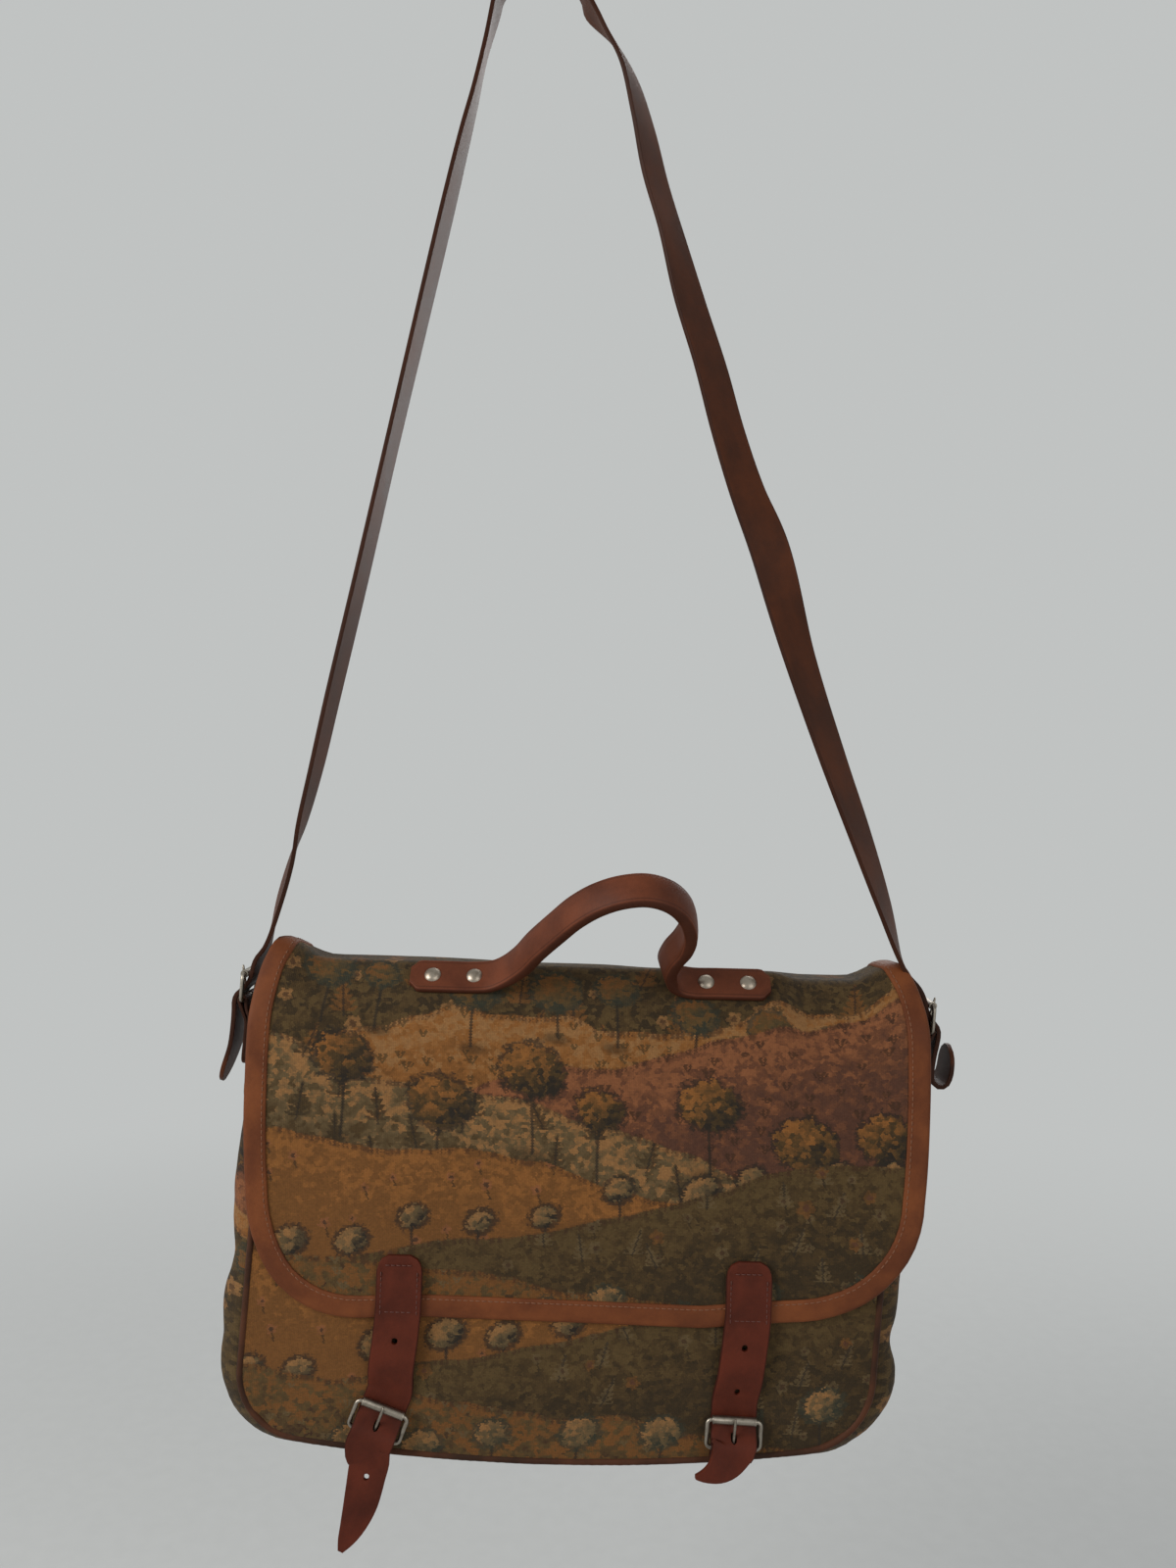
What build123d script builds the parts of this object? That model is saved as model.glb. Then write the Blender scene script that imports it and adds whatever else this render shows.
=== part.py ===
from build123d import *
import math
import os

# A flap satchel of tapestry cloth and leather, hanging by its shoulder strap.
# Millimetres. The front faces -Y and +Z is up. The origin is the inner top of the
# shoulder strap's loop, the place that rests on whatever the bag hangs from.

os.makedirs("parts", exist_ok=True)

# The bag's place under the loop
bag_drop = 848.7          # the origin down to the lowest point of the front seam
bag_shift = 21.0          # the middle of the bag, right of the origin
bag_tilt = 1.5            # degrees out of level, the right side lower

# The body: two panels, a gusset between them and a lining inside
panel_width = 350.0       # between the side seams
body_top = 270.0          # where the lean of the sides begins
body_lean = 16.0          # the base of the soft body sits this far left of its top
base_rise = 14.0          # the base seam's corners stand this far above its middle
base_corner = 38.0        # radius of the seam at the two lower corners
panel_face = 30.0         # the outer face of a panel, from the middle plane
cloth = 2.0               # thickness of a panel, the gusset and the flap
front_top = 234.0         # the mouth's edge in front
back_top = 256.0          # the mouth's edge behind
side_bulge = 15.5         # how far the gusset stands out of the seams at the sides
base_bulge = 7.0          # and under the base
gusset_flat = 13.0        # half width of the gusset's flat
gusset_shoulder = 20.5    # and of the shoulders between the flat and the sloping sides
piping_radius = 2.0
lining_gap = 1.6          # between the panels and the lining
lining_cloth = 0.8

# The flap and the leather bound round its edge
flap_width = 378.0
flap_bow = 7.0            # the flap's sides bow out by this much
flap_low = 85.0           # its lower edge
flap_taper = 11.0         # its sides draw in by this much towards the crown
flap_corner = 65.0
flap_face = 33.5          # the middle of its thickness in front
flap_behind = 31.0        # and behind
flap_crown = 273.0        # the middle of its thickness on top
flap_root = 226.0         # where it is sewn to the back panel
slope_start = 7.0         # the crown turns down here, towards the front
slope_end = 244.5         # and the slope ends at this height
binding_width = 12.5
binding_leather = 0.8

# The carrying handle on the slope of the flap
handle_width = 18.0
handle_thick = 6.0
plate_thick = 4.0
plate_width = 20.0
plate_inner = 45.0
plate_outer = 101.0
plate_clip = 5.0
rivet_places = (65.0, 88.5)
rivet_head = 4.5
rivet_rise = 2.0
rivet_shank = 1.5
rivet_back = 0.8
arch = [(-58.0, 3.1), (-47.0, 3.1), (-30.0, 48.0), (2.0, 88.0), (58.0, 86.0), (54.0, 50.0), (40.0, 22.0),
        (42.0, 3.1), (57.0, 3.1)]
arch_radii = [10.0, 60.0, 40.0, 14.0, 40.0, 20.0, 8.0]

# The roller buckles
wire = 1.2                # radius of a buckle's wire
buckle_width = 29.4       # between the middles of its side bars
buckle_reach = 15.0       # between the middles of its heel bar and its roller bar
buckle_corner = 2.5
turned_length = 24.4      # of the round stretch of both bars
running = 0.08            # clearance of what turns on a bar
roller_radius = 2.3
roller_length = 24.0
prong_radius = 1.0
prong_length = 18.0
prong_lift = 13.9         # degrees, the prong's rise from the heel bar onto the roller
prong_loop = 2.9
prong_loop_width = 3.4
chape_width = 24.0
chape_leather = 1.6
chape_notch = 4.6
heel_stand = 5.5          # a heel bar's axis above what the buckle lies on

# The straps
strap_width = 25.0
strap_leather = 2.2
shoulder_width = 24.5
shoulder_leather = 2.4
hole_width = 3.2
hole_length = 7.6
prong_hole_along = 5.6    # the hole's middle, from the heel bar's axis
spare_hole = (5.2, 2.8)
loop_radius = 25.0        # of whatever the shoulder strap hangs from
strap_under = -3.9        # the strap's middle under the roller, from the heel bar's axis
strap_over = 4.6          # and over the heel bar

cos_tilt = math.cos(math.radians(bag_tilt))
sin_tilt = math.sin(math.radians(bag_tilt))
ACROSS = Vector(cos_tilt, 0, -sin_tilt)
UP = Vector(sin_tilt, 0, cos_tilt)
OUT = Vector(0, -1, 0)
FRONT = Plane(origin=(bag_shift, 0, -bag_drop), x_dir=ACROSS, z_dir=OUT)
SIDE = Plane(origin=FRONT.origin, x_dir=OUT, z_dir=-ACROSS)


def spot(across, up, out):
    """A point of the bag: to the right, upwards and towards the front."""
    return FRONT.from_local_coords(Vector(across, up, out))


def lean(height):
    """How far the soft body's middle has moved to the left at a height."""
    return body_lean * (1 - height / body_top)


def seam_line(place, inset, top):
    """The seam of a panel as an open line: down the left, along the base, up the right."""
    half = panel_width / 2 - inset
    low = base_rise + inset
    with BuildLine(place) as seam:
        left = Line((-half - lean(top), top), (-half - lean(low), low))
        base = ThreePointArc(left @ 1, (-lean(0), inset), (half - lean(low), low))
        Line(base @ 1, (half - lean(top), top))
        fillet(seam.vertices().sort_by(Axis.Z)[0:2], base_corner - inset)
    return seam.line


def panel_outline(place, inset, top):
    """The closed outline of a panel."""
    half = panel_width / 2 - inset
    low = base_rise + inset
    with BuildSketch(place) as outline:
        with BuildLine():
            left = Line((-half - lean(top), top), (-half - lean(low), low))
            base = ThreePointArc(left @ 1, (-lean(0), inset), (half - lean(low), low))
            right = Line(base @ 1, (half - lean(top), top))
            Line(right @ 1, left @ 0)
        make_face()
        fillet(outline.vertices().sort_by(Axis.Y)[0:2], base_corner - inset)
    return outline.sketch


def gusset_band(place, bulge):
    """The gusset's section: two sloping sides, two shoulders and a flat."""
    foot = panel_face - piping_radius
    outside = [(-foot, 0), (-gusset_shoulder, 0.86 * bulge), (-gusset_flat, bulge)]
    inside = [(-foot + 1.2 * cloth, 0), (-gusset_shoulder + 0.8 * cloth, 0.86 * bulge - 0.7 * cloth),
              (-gusset_flat, bulge - cloth)]
    with BuildSketch(place) as band:
        with BuildLine():
            Polyline(*outside, *[(-x, y) for x, y in outside[::-1]], *[(-x, y) for x, y in inside], *inside[::-1],
                     close=True)
        make_face()
    return band.sketch


def stepped(line, arc_steps):
    """Places along a line, each a point and the way on: the ends of its straight runs, and a few on each arc."""
    edges = Wire(line.edges()).order_edges()
    places = [(edges[0] @ 0, edges[0] % 0)]
    for edge in edges:
        steps = 1 if edge.geom_type == GeomType.LINE else arc_steps
        for i in range(1, steps + 1):
            places.append((edge @ (i / steps), edge % (i / steps)))
    return places


def save(part, name):
    part.label = name
    export_step(part, "parts/" + name + ".step")


# Leather piping round the two seams
def seam_piping(out):
    path = seam_line(FRONT.offset(out), 0, front_top if out > 0 else back_top)
    with BuildPart() as piping:
        with BuildSketch(Plane(origin=path @ 0, z_dir=path % 0)):
            RegularPolygon(piping_radius, 8)
        sweep(path=path)
    return piping.part


front_piping = seam_piping(panel_face - cloth / 2)
back_piping = seam_piping(cloth / 2 - panel_face)

# The front panel, its edge turned in against the piping
with BuildPart() as front_panel:
    extrude(panel_outline(FRONT.offset(panel_face - cloth), 1.0, front_top), amount=cloth)
    add(front_piping, mode=Mode.SUBTRACT)

with BuildPart() as back_panel:
    extrude(panel_outline(FRONT.offset(-panel_face), 1.0, back_top), amount=cloth)
    add(back_piping, mode=Mode.SUBTRACT)

# The gusset, one long strip from mouth to mouth. It bulges at the sides and is
# pulled flatter under the base. Its top is cut to lie under the slope of the flap.
gusset_path = seam_line(FRONT, 0, back_top)
with BuildPart() as gusset:
    bands = []
    for middle, along in stepped(gusset_path, 4):
        bulge = base_bulge + (side_bulge - base_bulge) * abs(along.dot(UP))
        bands.append(gusset_band(Plane(origin=middle, x_dir=OUT, z_dir=along), bulge))
    loft(bands, ruled=True)
    with BuildSketch(SIDE):
        Polygon((4.0, back_top + 9), (4.0, back_top), (panel_face + 2, front_top - 4),
                (panel_face + 2, back_top + 9), align=None)
    extrude(amount=panel_width, both=True, mode=Mode.SUBTRACT)
    add(front_piping, mode=Mode.SUBTRACT)
    add(back_piping, mode=Mode.SUBTRACT)


# The lining hangs inside as one bag of thin cloth, open at its mouth
with BuildPart() as lining:
    extrude(
        panel_outline(FRONT, lining_gap + cloth, front_top), amount=panel_face - cloth - lining_gap, both=True)
    offset(amount=-lining_cloth, openings=lining.faces().sort_by(Axis.Z)[-1])

# The flap, one sheet from the back panel over the crown and down the front


def flap_profile(thick):
    """The flap's section from back to front, as thick as asked for."""
    middle = [(-flap_behind, flap_root), (-flap_behind, flap_crown), (slope_start, flap_crown),
              (flap_face, slope_end), (flap_face, flap_low - 5)]
    with BuildLine() as smooth:
        FilletPolyline(*middle, radius=[16.0, 10.0, 22.0])
    with BuildSketch(SIDE) as profile:
        outside = [point + Vector(-way.Y, way.X) * (thick / 2) for point, way in stepped(smooth.line, 3)]
        inside = [point - Vector(-way.Y, way.X) * (thick / 2) for point, way in stepped(smooth.line, 3)]
        Polygon(*outside, *inside[::-1], align=None)
    return profile.sketch


def flap_outline(inset):
    """The flap seen from the front: bowed sides and large lower corners."""
    half = flap_width / 2 - inset
    low = flap_low + inset
    crown = half - flap_taper
    high = body_top + 30
    middle = (low + slope_end) / 2
    right = [(half - flap_bow, low), (half, middle), (half - 3, slope_end), (crown, flap_crown - 2), (crown, high)]
    with BuildLine() as smooth:
        Polyline(*[(-x, y) for x, y in right[::-1]], *right)
        fillet(smooth.vertices().sort_by(Axis.Y)[0:2], flap_corner - inset)
    with BuildSketch(FRONT.offset(-60)) as outline:
        Polygon(*[point for point, way in stepped(smooth.line, 8)], align=None)
    return outline.sketch


with BuildPart() as flap:
    extrude(flap_profile(cloth), amount=panel_width, both=True)
    extrude(flap_outline(binding_leather), amount=140, mode=Mode.INTERSECT)
    add(back_piping, mode=Mode.SUBTRACT)

# The binding folds round the flap's sides and lower edge
with BuildPart() as flap_binding:
    extrude(flap_profile(cloth + 2 * binding_leather), amount=panel_width, both=True)
    extrude(flap_outline(0), amount=140, mode=Mode.INTERSECT)
    extrude(flap_outline(binding_width), amount=140, mode=Mode.SUBTRACT)
    add(flap.part, mode=Mode.SUBTRACT)
    add(back_panel.part, mode=Mode.SUBTRACT)
    add(back_piping, mode=Mode.SUBTRACT)

# The handle stands on the slope: its own plane lies on the flap's outer face there
slope = Vector(flap_face - slope_start, slope_end - flap_crown).normalized()
slope_middle = Vector(slope_start, flap_crown) + slope * 14.4
HANDLE_OUT = OUT * -slope.Y + UP * slope.X
handle_foot = spot(0, slope_middle.Y, slope_middle.X) + HANDLE_OUT * (cloth / 2)
HANDLE = Plane(origin=handle_foot, x_dir=ACROSS, z_dir=HANDLE_OUT)
HANDLE_SIDE = Plane(origin=handle_foot, x_dir=ACROSS, z_dir=ACROSS.cross(HANDLE_OUT))


def rivet(place, across, depth, head=rivet_head):
    """A double-headed rivet through what lies under a plane, down to a depth."""
    with BuildPart() as one:
        for start, radius, length, taper in (
                (0, head, rivet_rise, 20), (0, rivet_shank, -depth, 0), (-depth, head, -rivet_back, 0)):
            with BuildSketch(place.offset(start)):
                with Locations((across, 0)):
                    RegularPolygon(radius, 10)
            extrude(amount=length, taper=taper)
    return one.part


with BuildPart() as handle:
    with BuildLine(HANDLE_SIDE) as arch_line:
        FilletPolyline(*arch, radius=arch_radii)
    handle_end = Plane(origin=arch_line.line @ 0, x_dir=HANDLE.y_dir, z_dir=arch_line.line % 0)
    with BuildSketch(handle_end) as handle_section:
        Rectangle(handle_width, handle_thick)
        chamfer(handle_section.vertices(), 1.6)
    sweep(path=arch_line.line)
    for side in (-1, 1):
        inner = side * plate_inner
        outer = side * plate_outer
        half = plate_width / 2
        with BuildSketch(HANDLE):
            Polygon((inner, -half), (outer - side * plate_clip, -half), (outer, plate_clip - half),
                    (outer, half - plate_clip), (outer - side * plate_clip, half), (inner, half), align=None)
        extrude(amount=plate_thick)
    for side in (-1, 1):
        for across in rivet_places:
            add(rivet(HANDLE.offset(plate_thick), side * across, plate_thick + cloth), mode=Mode.SUBTRACT)

with BuildPart() as handle_rivets:
    for side in (-1, 1):
        for across in rivet_places:
            add(rivet(HANDLE.offset(plate_thick), side * across, plate_thick + cloth))

# The flap is pierced by the rivets
flap.part = flap.part - handle_rivets.part


SIDE_UP = (UP * body_top + ACROSS * body_lean).normalized()

# The buckles. Each has a plane at its heel bar: x across, y towards the roller, z outwards
def surface_spot(side, height, stand):
    """A point over the middle of the gusset at the left or the right."""
    return spot(side * (panel_width / 2 + side_bulge + stand) - lean(height), height, 0)


def front_buckle_plane(across, height, turn):
    """A front buckle, turned clockwise by some degrees."""
    angle = math.radians(turn)
    return Plane(
        origin=spot(across, height, panel_face + heel_stand),
        x_dir=ACROSS * math.cos(angle) - UP * math.sin(angle), z_dir=OUT)


buckle_planes = {
    "front_left": front_buckle_plane(-112.7, 15.6, 20.0),
    "front_right": front_buckle_plane(84.6, 13.2, 2.0),
    "side_left": Plane(origin=surface_spot(-1, 247.0, heel_stand), x_dir=OUT, z_dir=OUT.cross(SIDE_UP)),
    "side_right": Plane(origin=surface_spot(1, 239.0, heel_stand), x_dir=-OUT, z_dir=SIDE_UP.cross(OUT)),
}


def buckle_side(place):
    """A buckle seen along its bars: x outwards, y towards the roller."""
    return Plane(origin=place.origin, x_dir=place.z_dir, z_dir=-place.x_dir)


def buckle_frame(place):
    """A cast ring with rounded corners, its heel bar and roller bar turned round."""
    middle = place.origin + place.y_dir * buckle_reach / 2
    ring_plane = Plane(origin=middle, x_dir=place.x_dir, z_dir=place.z_dir)
    side = buckle_side(place)
    with BuildPart() as frame:
        with BuildSketch(ring_plane):
            outer = Rectangle(buckle_width + 2 * wire, buckle_reach + 2 * wire)
            chamfer(outer.vertices(), buckle_corner)
            Rectangle(buckle_width - 2 * wire, buckle_reach - 2 * wire, mode=Mode.SUBTRACT)
        extrude(amount=wire, both=True)
        with BuildSketch(ring_plane):
            Rectangle(turned_length, buckle_reach + 4 * wire)
        extrude(amount=2 * wire, both=True, mode=Mode.SUBTRACT)
        with BuildSketch(side):
            with Locations((0, 0), (0, buckle_reach)):
                Circle(wire)
        extrude(amount=turned_length / 2, both=True)
    return frame.part


def buckle_roller(place):
    """A tube that turns on the far bar."""
    middle = place.origin + place.y_dir * buckle_reach
    with BuildPart() as roller:
        with BuildSketch(Plane(origin=middle, x_dir=place.z_dir, z_dir=place.x_dir)):
            RegularPolygon(roller_radius, 16)
            Circle(wire + running, mode=Mode.SUBTRACT)
        extrude(amount=roller_length / 2, both=True)
    return roller.part


def buckle_prong(place):
    """A loop round the heel bar and a straight tongue that rests on the roller."""
    side = buckle_side(place)
    lift = math.radians(prong_lift)
    direction = place.y_dir * math.cos(lift) + place.z_dir * math.sin(lift)
    with BuildPart() as prong:
        with BuildSketch(side):
            RegularPolygon(prong_loop, 12)
        extrude(amount=prong_loop_width / 2, both=True)
        with BuildSketch(Plane(origin=place.origin, x_dir=place.x_dir, z_dir=direction)):
            RegularPolygon(prong_radius, 8)
        extrude(amount=prong_length)
        with BuildSketch(side):
            Circle(wire + running)
        extrude(amount=prong_loop_width, both=True, mode=Mode.SUBTRACT)
    return prong.part


def chape_wrap(place, tail):
    """Leather folded round the heel bar, with a slot for the prong; its two layers run on as a tail."""
    side = buckle_side(place)
    wrap = wire + running + chape_leather
    with BuildPart() as chape:
        with BuildSketch(side):
            RegularPolygon(wrap, 12)
            with Locations(tail):
                RegularPolygon(chape_leather, 8)
            make_hull()
            Circle(wire + running, mode=Mode.SUBTRACT)
        extrude(amount=chape_width / 2, both=True)
        with BuildSketch(side):
            with Locations((0, wrap)):
                Rectangle(5 * wrap, 4.5 * wrap)
        extrude(amount=chape_notch / 2, both=True, mode=Mode.SUBTRACT)
    return chape


frames = {}
for name, place in buckle_planes.items():
    frames[name] = buckle_frame(place)
    save(frames[name], "buckle_frame_" + name)
    save(buckle_roller(place), "buckle_roller_" + name)
    save(buckle_prong(place), "buckle_prong_" + name)

# The front chapes come out of the base seam, under the piping
for name in ("front_left", "front_right"):
    chape = chape_wrap(buckle_planes[name], (-9.5, -11.0))
    chape.part = chape.part - gusset.part - front_piping - front_panel.part
    save(max(chape.part.solids(), key=lambda piece: piece.volume), "chape_" + name)

# The side chapes run down the gusset and are riveted to it
side_chape_length = 36.0
side_rivet_places = (-14.0, -29.0)
side_rivets = []
for name in ("side_left", "side_right"):
    place = buckle_planes[name]
    chape = chape_wrap(place, (chape_leather - heel_stand + 0.1, -8.0))
    foot = Plane(origin=place.origin - place.z_dir * heel_stand, x_dir=place.x_dir, z_dir=place.z_dir)
    with BuildPart() as strip:
        with BuildSketch(foot):
            with Locations((0, -(side_chape_length + 7.0) / 2)):
                RectangleRounded(chape_width, side_chape_length - 7.0, 4.0)
        extrude(amount=2 * chape_leather)
    whole = chape.part + strip.part
    for along in side_rivet_places:
        outer_face = foot.offset(2 * chape_leather)
        outer_face.origin = outer_face.origin + foot.y_dir * along
        one = rivet(outer_face, 0, 2 * chape_leather + cloth, 3.5)
        side_rivets.append(one)
        whole = whole - one
        gusset.part = gusset.part - one
    save(whole - gusset.part, "chape_" + name)
save(Compound(side_rivets), "side_rivets")


# Straps. A station is a point of the strap's middle, the direction across it and its width there.
def strap(stations, leather):
    """A flat strap through its stations, of flat facets. At each it is cut square to its way there."""
    points = [point for point, across, width in stations]
    ways = [after - before for before, after in zip(points[:1] + points[:-1], points[1:] + points[-1:])]
    rings = []
    for (point, across, width), way in zip(stations, ways):
        half = across * (width / 2)
        rise = way.cross(across).normalized() * (leather / 2)
        rings.append([point - half - rise, point + half - rise, point + half + rise, point - half + rise])
    facets = [Face(Wire.make_polygon(rings[0])), Face(Wire.make_polygon(rings[-1]))]
    for ring, further in zip(rings, rings[1:]):
        for i in range(4):
            j = (i + 1) % 4
            facets.append(Face(Wire.make_polygon([ring[i], ring[j], further[j]])))
            facets.append(Face(Wire.make_polygon([ring[i], further[j], further[i]])))
    return Solid(Shell(facets))


def long_hole(place, along, across):
    """A hole through a strap, with its ends cut round in three facets."""
    with BuildPart() as hole:
        with BuildSketch(place):
            slot = Rectangle(along, across)
            chamfer(slot.vertices(), across * 0.3)
        extrude(amount=8, both=True)
    return hole.part


def through_buckle(place, width, above):
    """A strap's stations from above a buckle, under its roller and over its heel bar."""
    path = above + [(15.0, strap_under), (11.5, -3.1), (8.5, -1.3), (5.6, 1.2), (3.2, 3.4), (0.0, strap_over),
                    (-6.0, strap_over - 0.3)]
    return [(place.origin + place.y_dir * along + place.z_dir * out, place.x_dir, width) for along, out in path]


def prong_hole(place):
    """The slot that a strap needs for its prong."""
    middle = place.origin + place.y_dir * prong_hole_along
    return long_hole(Plane(origin=middle, x_dir=place.y_dir, z_dir=place.z_dir), hole_length, hole_width)


def front_stations(rows):
    """Stations on the front: across, up, out, degrees of lean and width."""
    return [(spot(across, up, out),
             ACROSS * math.cos(math.radians(turn)) - UP * math.sin(math.radians(turn)), width)
            for across, up, out, turn, width in rows]


on_flap = flap_face + cloth / 2 + binding_leather + strap_leather / 2 + 0.1
left_top = [(-100.3, 113.5, on_flap, 0, 12), (-100.3, 111.5, on_flap, 0, 19), (-100.3, 107, on_flap, 0, 24),
            (-100.3, 100, on_flap, 0, strap_width), (-100.4, 86, on_flap, 1, strap_width),
            (-101.5, 70, on_flap - 0.6, 6, strap_width), (-104.0, 50, on_flap - 2.6, 11, strap_width)]
left_tail = [(-116.5, -4, 39.6, 15, strap_width), (-121.0, -24, 38.6, 14, strap_width), (-124.8, -36, 38.0, 14, 23.5),
             (-128.3, -44, 37.8, 14, 13), (-129.0, -47.4, 37.7, 14, 5)]
right_top = [(91, 114.8, on_flap, 0, 12), (91, 112.8, on_flap, 0, 19), (91, 108, on_flap, 0, 24),
             (91, 100, on_flap, 0, strap_width), (90.9, 86, on_flap, 0, strap_width),
             (89.8, 70, on_flap - 0.6, 3, strap_width), (87.6, 50, on_flap - 2.6, 3, strap_width)]
right_tail = [(83.4, 2.2, 41.6, 2, strap_width), (80.5, 0.2, 46.0, 2, 22), (76.0, 2.2, 51.0, 2, 16),
              (72.0, 5.0, 54.8, 2, 9), (70.4, 6.4, 56.0, 2, 5)]
flat_above = [(24.0, -3.7), (18.5, strap_under)]
front_straps = {
    "front_strap_left": ("front_left", left_top, front_stations(left_tail), [(89.8 - 22.0, -101.6), (-4.7, -114.1 - 2.0)]),
    "front_strap_right": ("front_right", right_top, front_stations(right_tail), [(68.6, 89.8), (43.6, 86.6)]),
}
for name, (buckle, top, tail, holes) in front_straps.items():
    place = buckle_planes[buckle]
    stations = front_stations(top) + through_buckle(place, strap_width, flat_above) + tail
    body = strap(stations, strap_leather) - prong_hole(place)
    for height, across in holes:
        body = body - long_hole(Plane(origin=spot(across, height, on_flap), x_dir=UP, z_dir=OUT), *spare_hole)
    save(body, name)

# The shoulder strap, from its right tip up, over the loop and down to its left tip.
# Each row is across, height and the degrees by which its front edge swings to the left.
loop_centre = -loop_radius
right_strand = [(209.0, -580.0, 10), (197.5, -543.5, 29), (183.5, -502.1, 40), (168.8, -460.8, 46), (148.4, -399.0, 55),
                (131.4, -337.2, 75), (118.4, -303.8, 62), (107.6, -269.8, 56), (97.4, -231.8, 53), (85.5, -193.9, 50),
                (75.3, -155.9, 40), (65.5, -123.0, 38), (58.5, -91.0, 32), (50.0, -61.0, 24), (38.5, -40.0, 20)]
left_strand = [(-33.5, -48.0, 0), (-40.8, -77.1, 12), (-46.5, -100.0, 18), (-55.0, -140.0, 20), (-70.0, -205.0, 18),
               (-86.2, -275.5, 17), (-103.2, -349.1, 22), (-120.7, -422.8, 17), (-130.5, -465.0, 14),
               (-138.9, -496.5, 0), (-144.5, -517.0, -18), (-151.5, -541.0, -20), (-158.5, -566.0, -8)]
shoulder_middle = loop_radius + shoulder_leather / 2


def strand(rows):
    return [(Vector(across, 0, height),
             Vector(-math.sin(math.radians(turn)), -math.cos(math.radians(turn)), 0), shoulder_width)
            for across, height, turn in rows]


over_loop = [(Vector(shoulder_middle * math.cos(math.radians(angle)), 0,
                     loop_centre + shoulder_middle * math.sin(math.radians(angle))), OUT, shoulder_width)
             for angle in (5, 25, 45, 65, 90, 115, 135, 155, 175)]


def side_tail(name, rows):
    """Stations of a tail below a side buckle: along and out from the heel bar, and the width."""
    place = buckle_planes[name]
    return [(place.origin + place.y_dir * along + place.z_dir * out, OUT, width) for along, out, width in rows]


def side_through(name, above):
    stations = through_buckle(buckle_planes[name], shoulder_width, above)
    return [(point, OUT, width) for point, across, width in stations]


right_tip = side_tail("side_right", [
    (-8.0, 13.8, 6), (-10.0, 14.0, 13), (-15.0, 14.0, 21), (-20.5, 13.8, shoulder_width),
    (-25.5, 13.2, shoulder_width), (-29.4, 11.4, shoulder_width), (-31.0, 8.0, shoulder_width),
    (-29.4, 4.6, shoulder_width), (-25.5, 2.9, shoulder_width), (-15.0, 3.1, shoulder_width)])
left_tip = side_tail("side_left", [(-14.0, 4.2, shoulder_width), (-26.0, 4.8, shoulder_width), (-40.0, 8.2, 22),
                                   (-46.0, 9.8, 13), (-49.0, 10.6, 5)])
right_above = [(24.0, -8.4), (18.5, -5.2)]
left_above = [(24.0, -5.8), (18.5, -4.3)]
shoulder_stations = (right_tip + side_through("side_right", right_above)[::-1] + strand(right_strand) + over_loop
                     + strand(left_strand) + side_through("side_left", left_above) + left_tip)
shoulder = strap(shoulder_stations[::-1], shoulder_leather)
for name in ("side_left", "side_right"):
    shoulder = shoulder - prong_hole(buckle_planes[name])
save(shoulder, "shoulder_strap")

save(gusset.part, "gusset")
save(front_panel.part, "front_panel")
save(back_panel.part, "back_panel")
save(front_piping, "front_piping")
save(back_piping, "back_piping")
save(lining.part, "lining")
save(flap.part, "flap")
save(flap_binding.part, "flap_binding")
save(handle.part, "handle")
save(handle_rivets.part, "handle_rivets")
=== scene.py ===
from bisect import bisect_right
import math

import bmesh
import bpy
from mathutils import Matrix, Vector, noise


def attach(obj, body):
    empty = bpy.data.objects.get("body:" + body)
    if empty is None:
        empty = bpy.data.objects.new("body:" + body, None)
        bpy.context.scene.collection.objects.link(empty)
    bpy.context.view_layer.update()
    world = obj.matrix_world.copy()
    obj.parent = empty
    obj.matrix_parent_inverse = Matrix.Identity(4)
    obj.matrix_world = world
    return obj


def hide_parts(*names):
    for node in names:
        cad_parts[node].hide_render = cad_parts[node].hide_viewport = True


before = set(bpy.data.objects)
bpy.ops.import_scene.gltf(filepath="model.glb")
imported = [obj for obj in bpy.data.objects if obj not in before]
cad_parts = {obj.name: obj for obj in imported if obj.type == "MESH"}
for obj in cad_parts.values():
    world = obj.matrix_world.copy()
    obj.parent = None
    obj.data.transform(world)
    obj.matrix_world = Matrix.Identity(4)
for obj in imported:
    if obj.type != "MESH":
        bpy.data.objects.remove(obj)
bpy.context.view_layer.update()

# Sizes are in millimetres, as in the part's source, and become metres in new_piece.
MM = 0.001

# The bag hangs a little out of level. It is built from across, up and out, and
# spot() puts that into the frame.
TILT = math.radians(1.5)
ACROSS = Vector((math.cos(TILT), 0, -math.sin(TILT)))
UP = Vector((math.sin(TILT), 0, math.cos(TILT)))
OUT = Vector((0, -1, 0))
SEAM_FOOT = Vector((21.0, 0, -848.7))


def spot(across, up, out):
    return SEAM_FOOT + ACROSS * across + UP * up + OUT * out


# ---- Curves ----

def fade(low, high, x):
    """0 below low, 1 above high, and smooth between them."""
    t = min(max((x - low) / (high - low), 0.0), 1.0)
    return t * t * (3 - 2 * t)


def wobble(seed, size, *at):
    """Smooth noise from -1 to 1 whose lumps are about size across."""
    x, y = (list(at) + [0.0])[:2]
    return noise.noise(Vector((x / size + seed * 7.31, y / size - seed * 3.17, seed * 1.7)))


def rounded(points, radii, step=0.12):
    """A line through points in a plane, with each inner corner rounded to its radius."""
    points = [Vector(p) for p in points]
    line = [points[0]]
    for before, corner, after, radius in zip(points, points[1:], points[2:], radii):
        one = (before - corner).normalized()
        other = (after - corner).normalized()
        half = (math.pi - one.angle(other)) / 2
        reach = radius * math.tan(half)
        weight = math.cos(half)
        steps = max(2, round(2 * half / step))
        for i in range(steps + 1):
            t = i / steps
            parts = ((1 - t) ** 2, 2 * t * (1 - t) * weight, t ** 2)
            ends = parts[0] * (corner + one * reach) + parts[2] * (corner + other * reach)
            line.append((ends + parts[1] * corner) / sum(parts))
    return line + [points[-1]]


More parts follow.
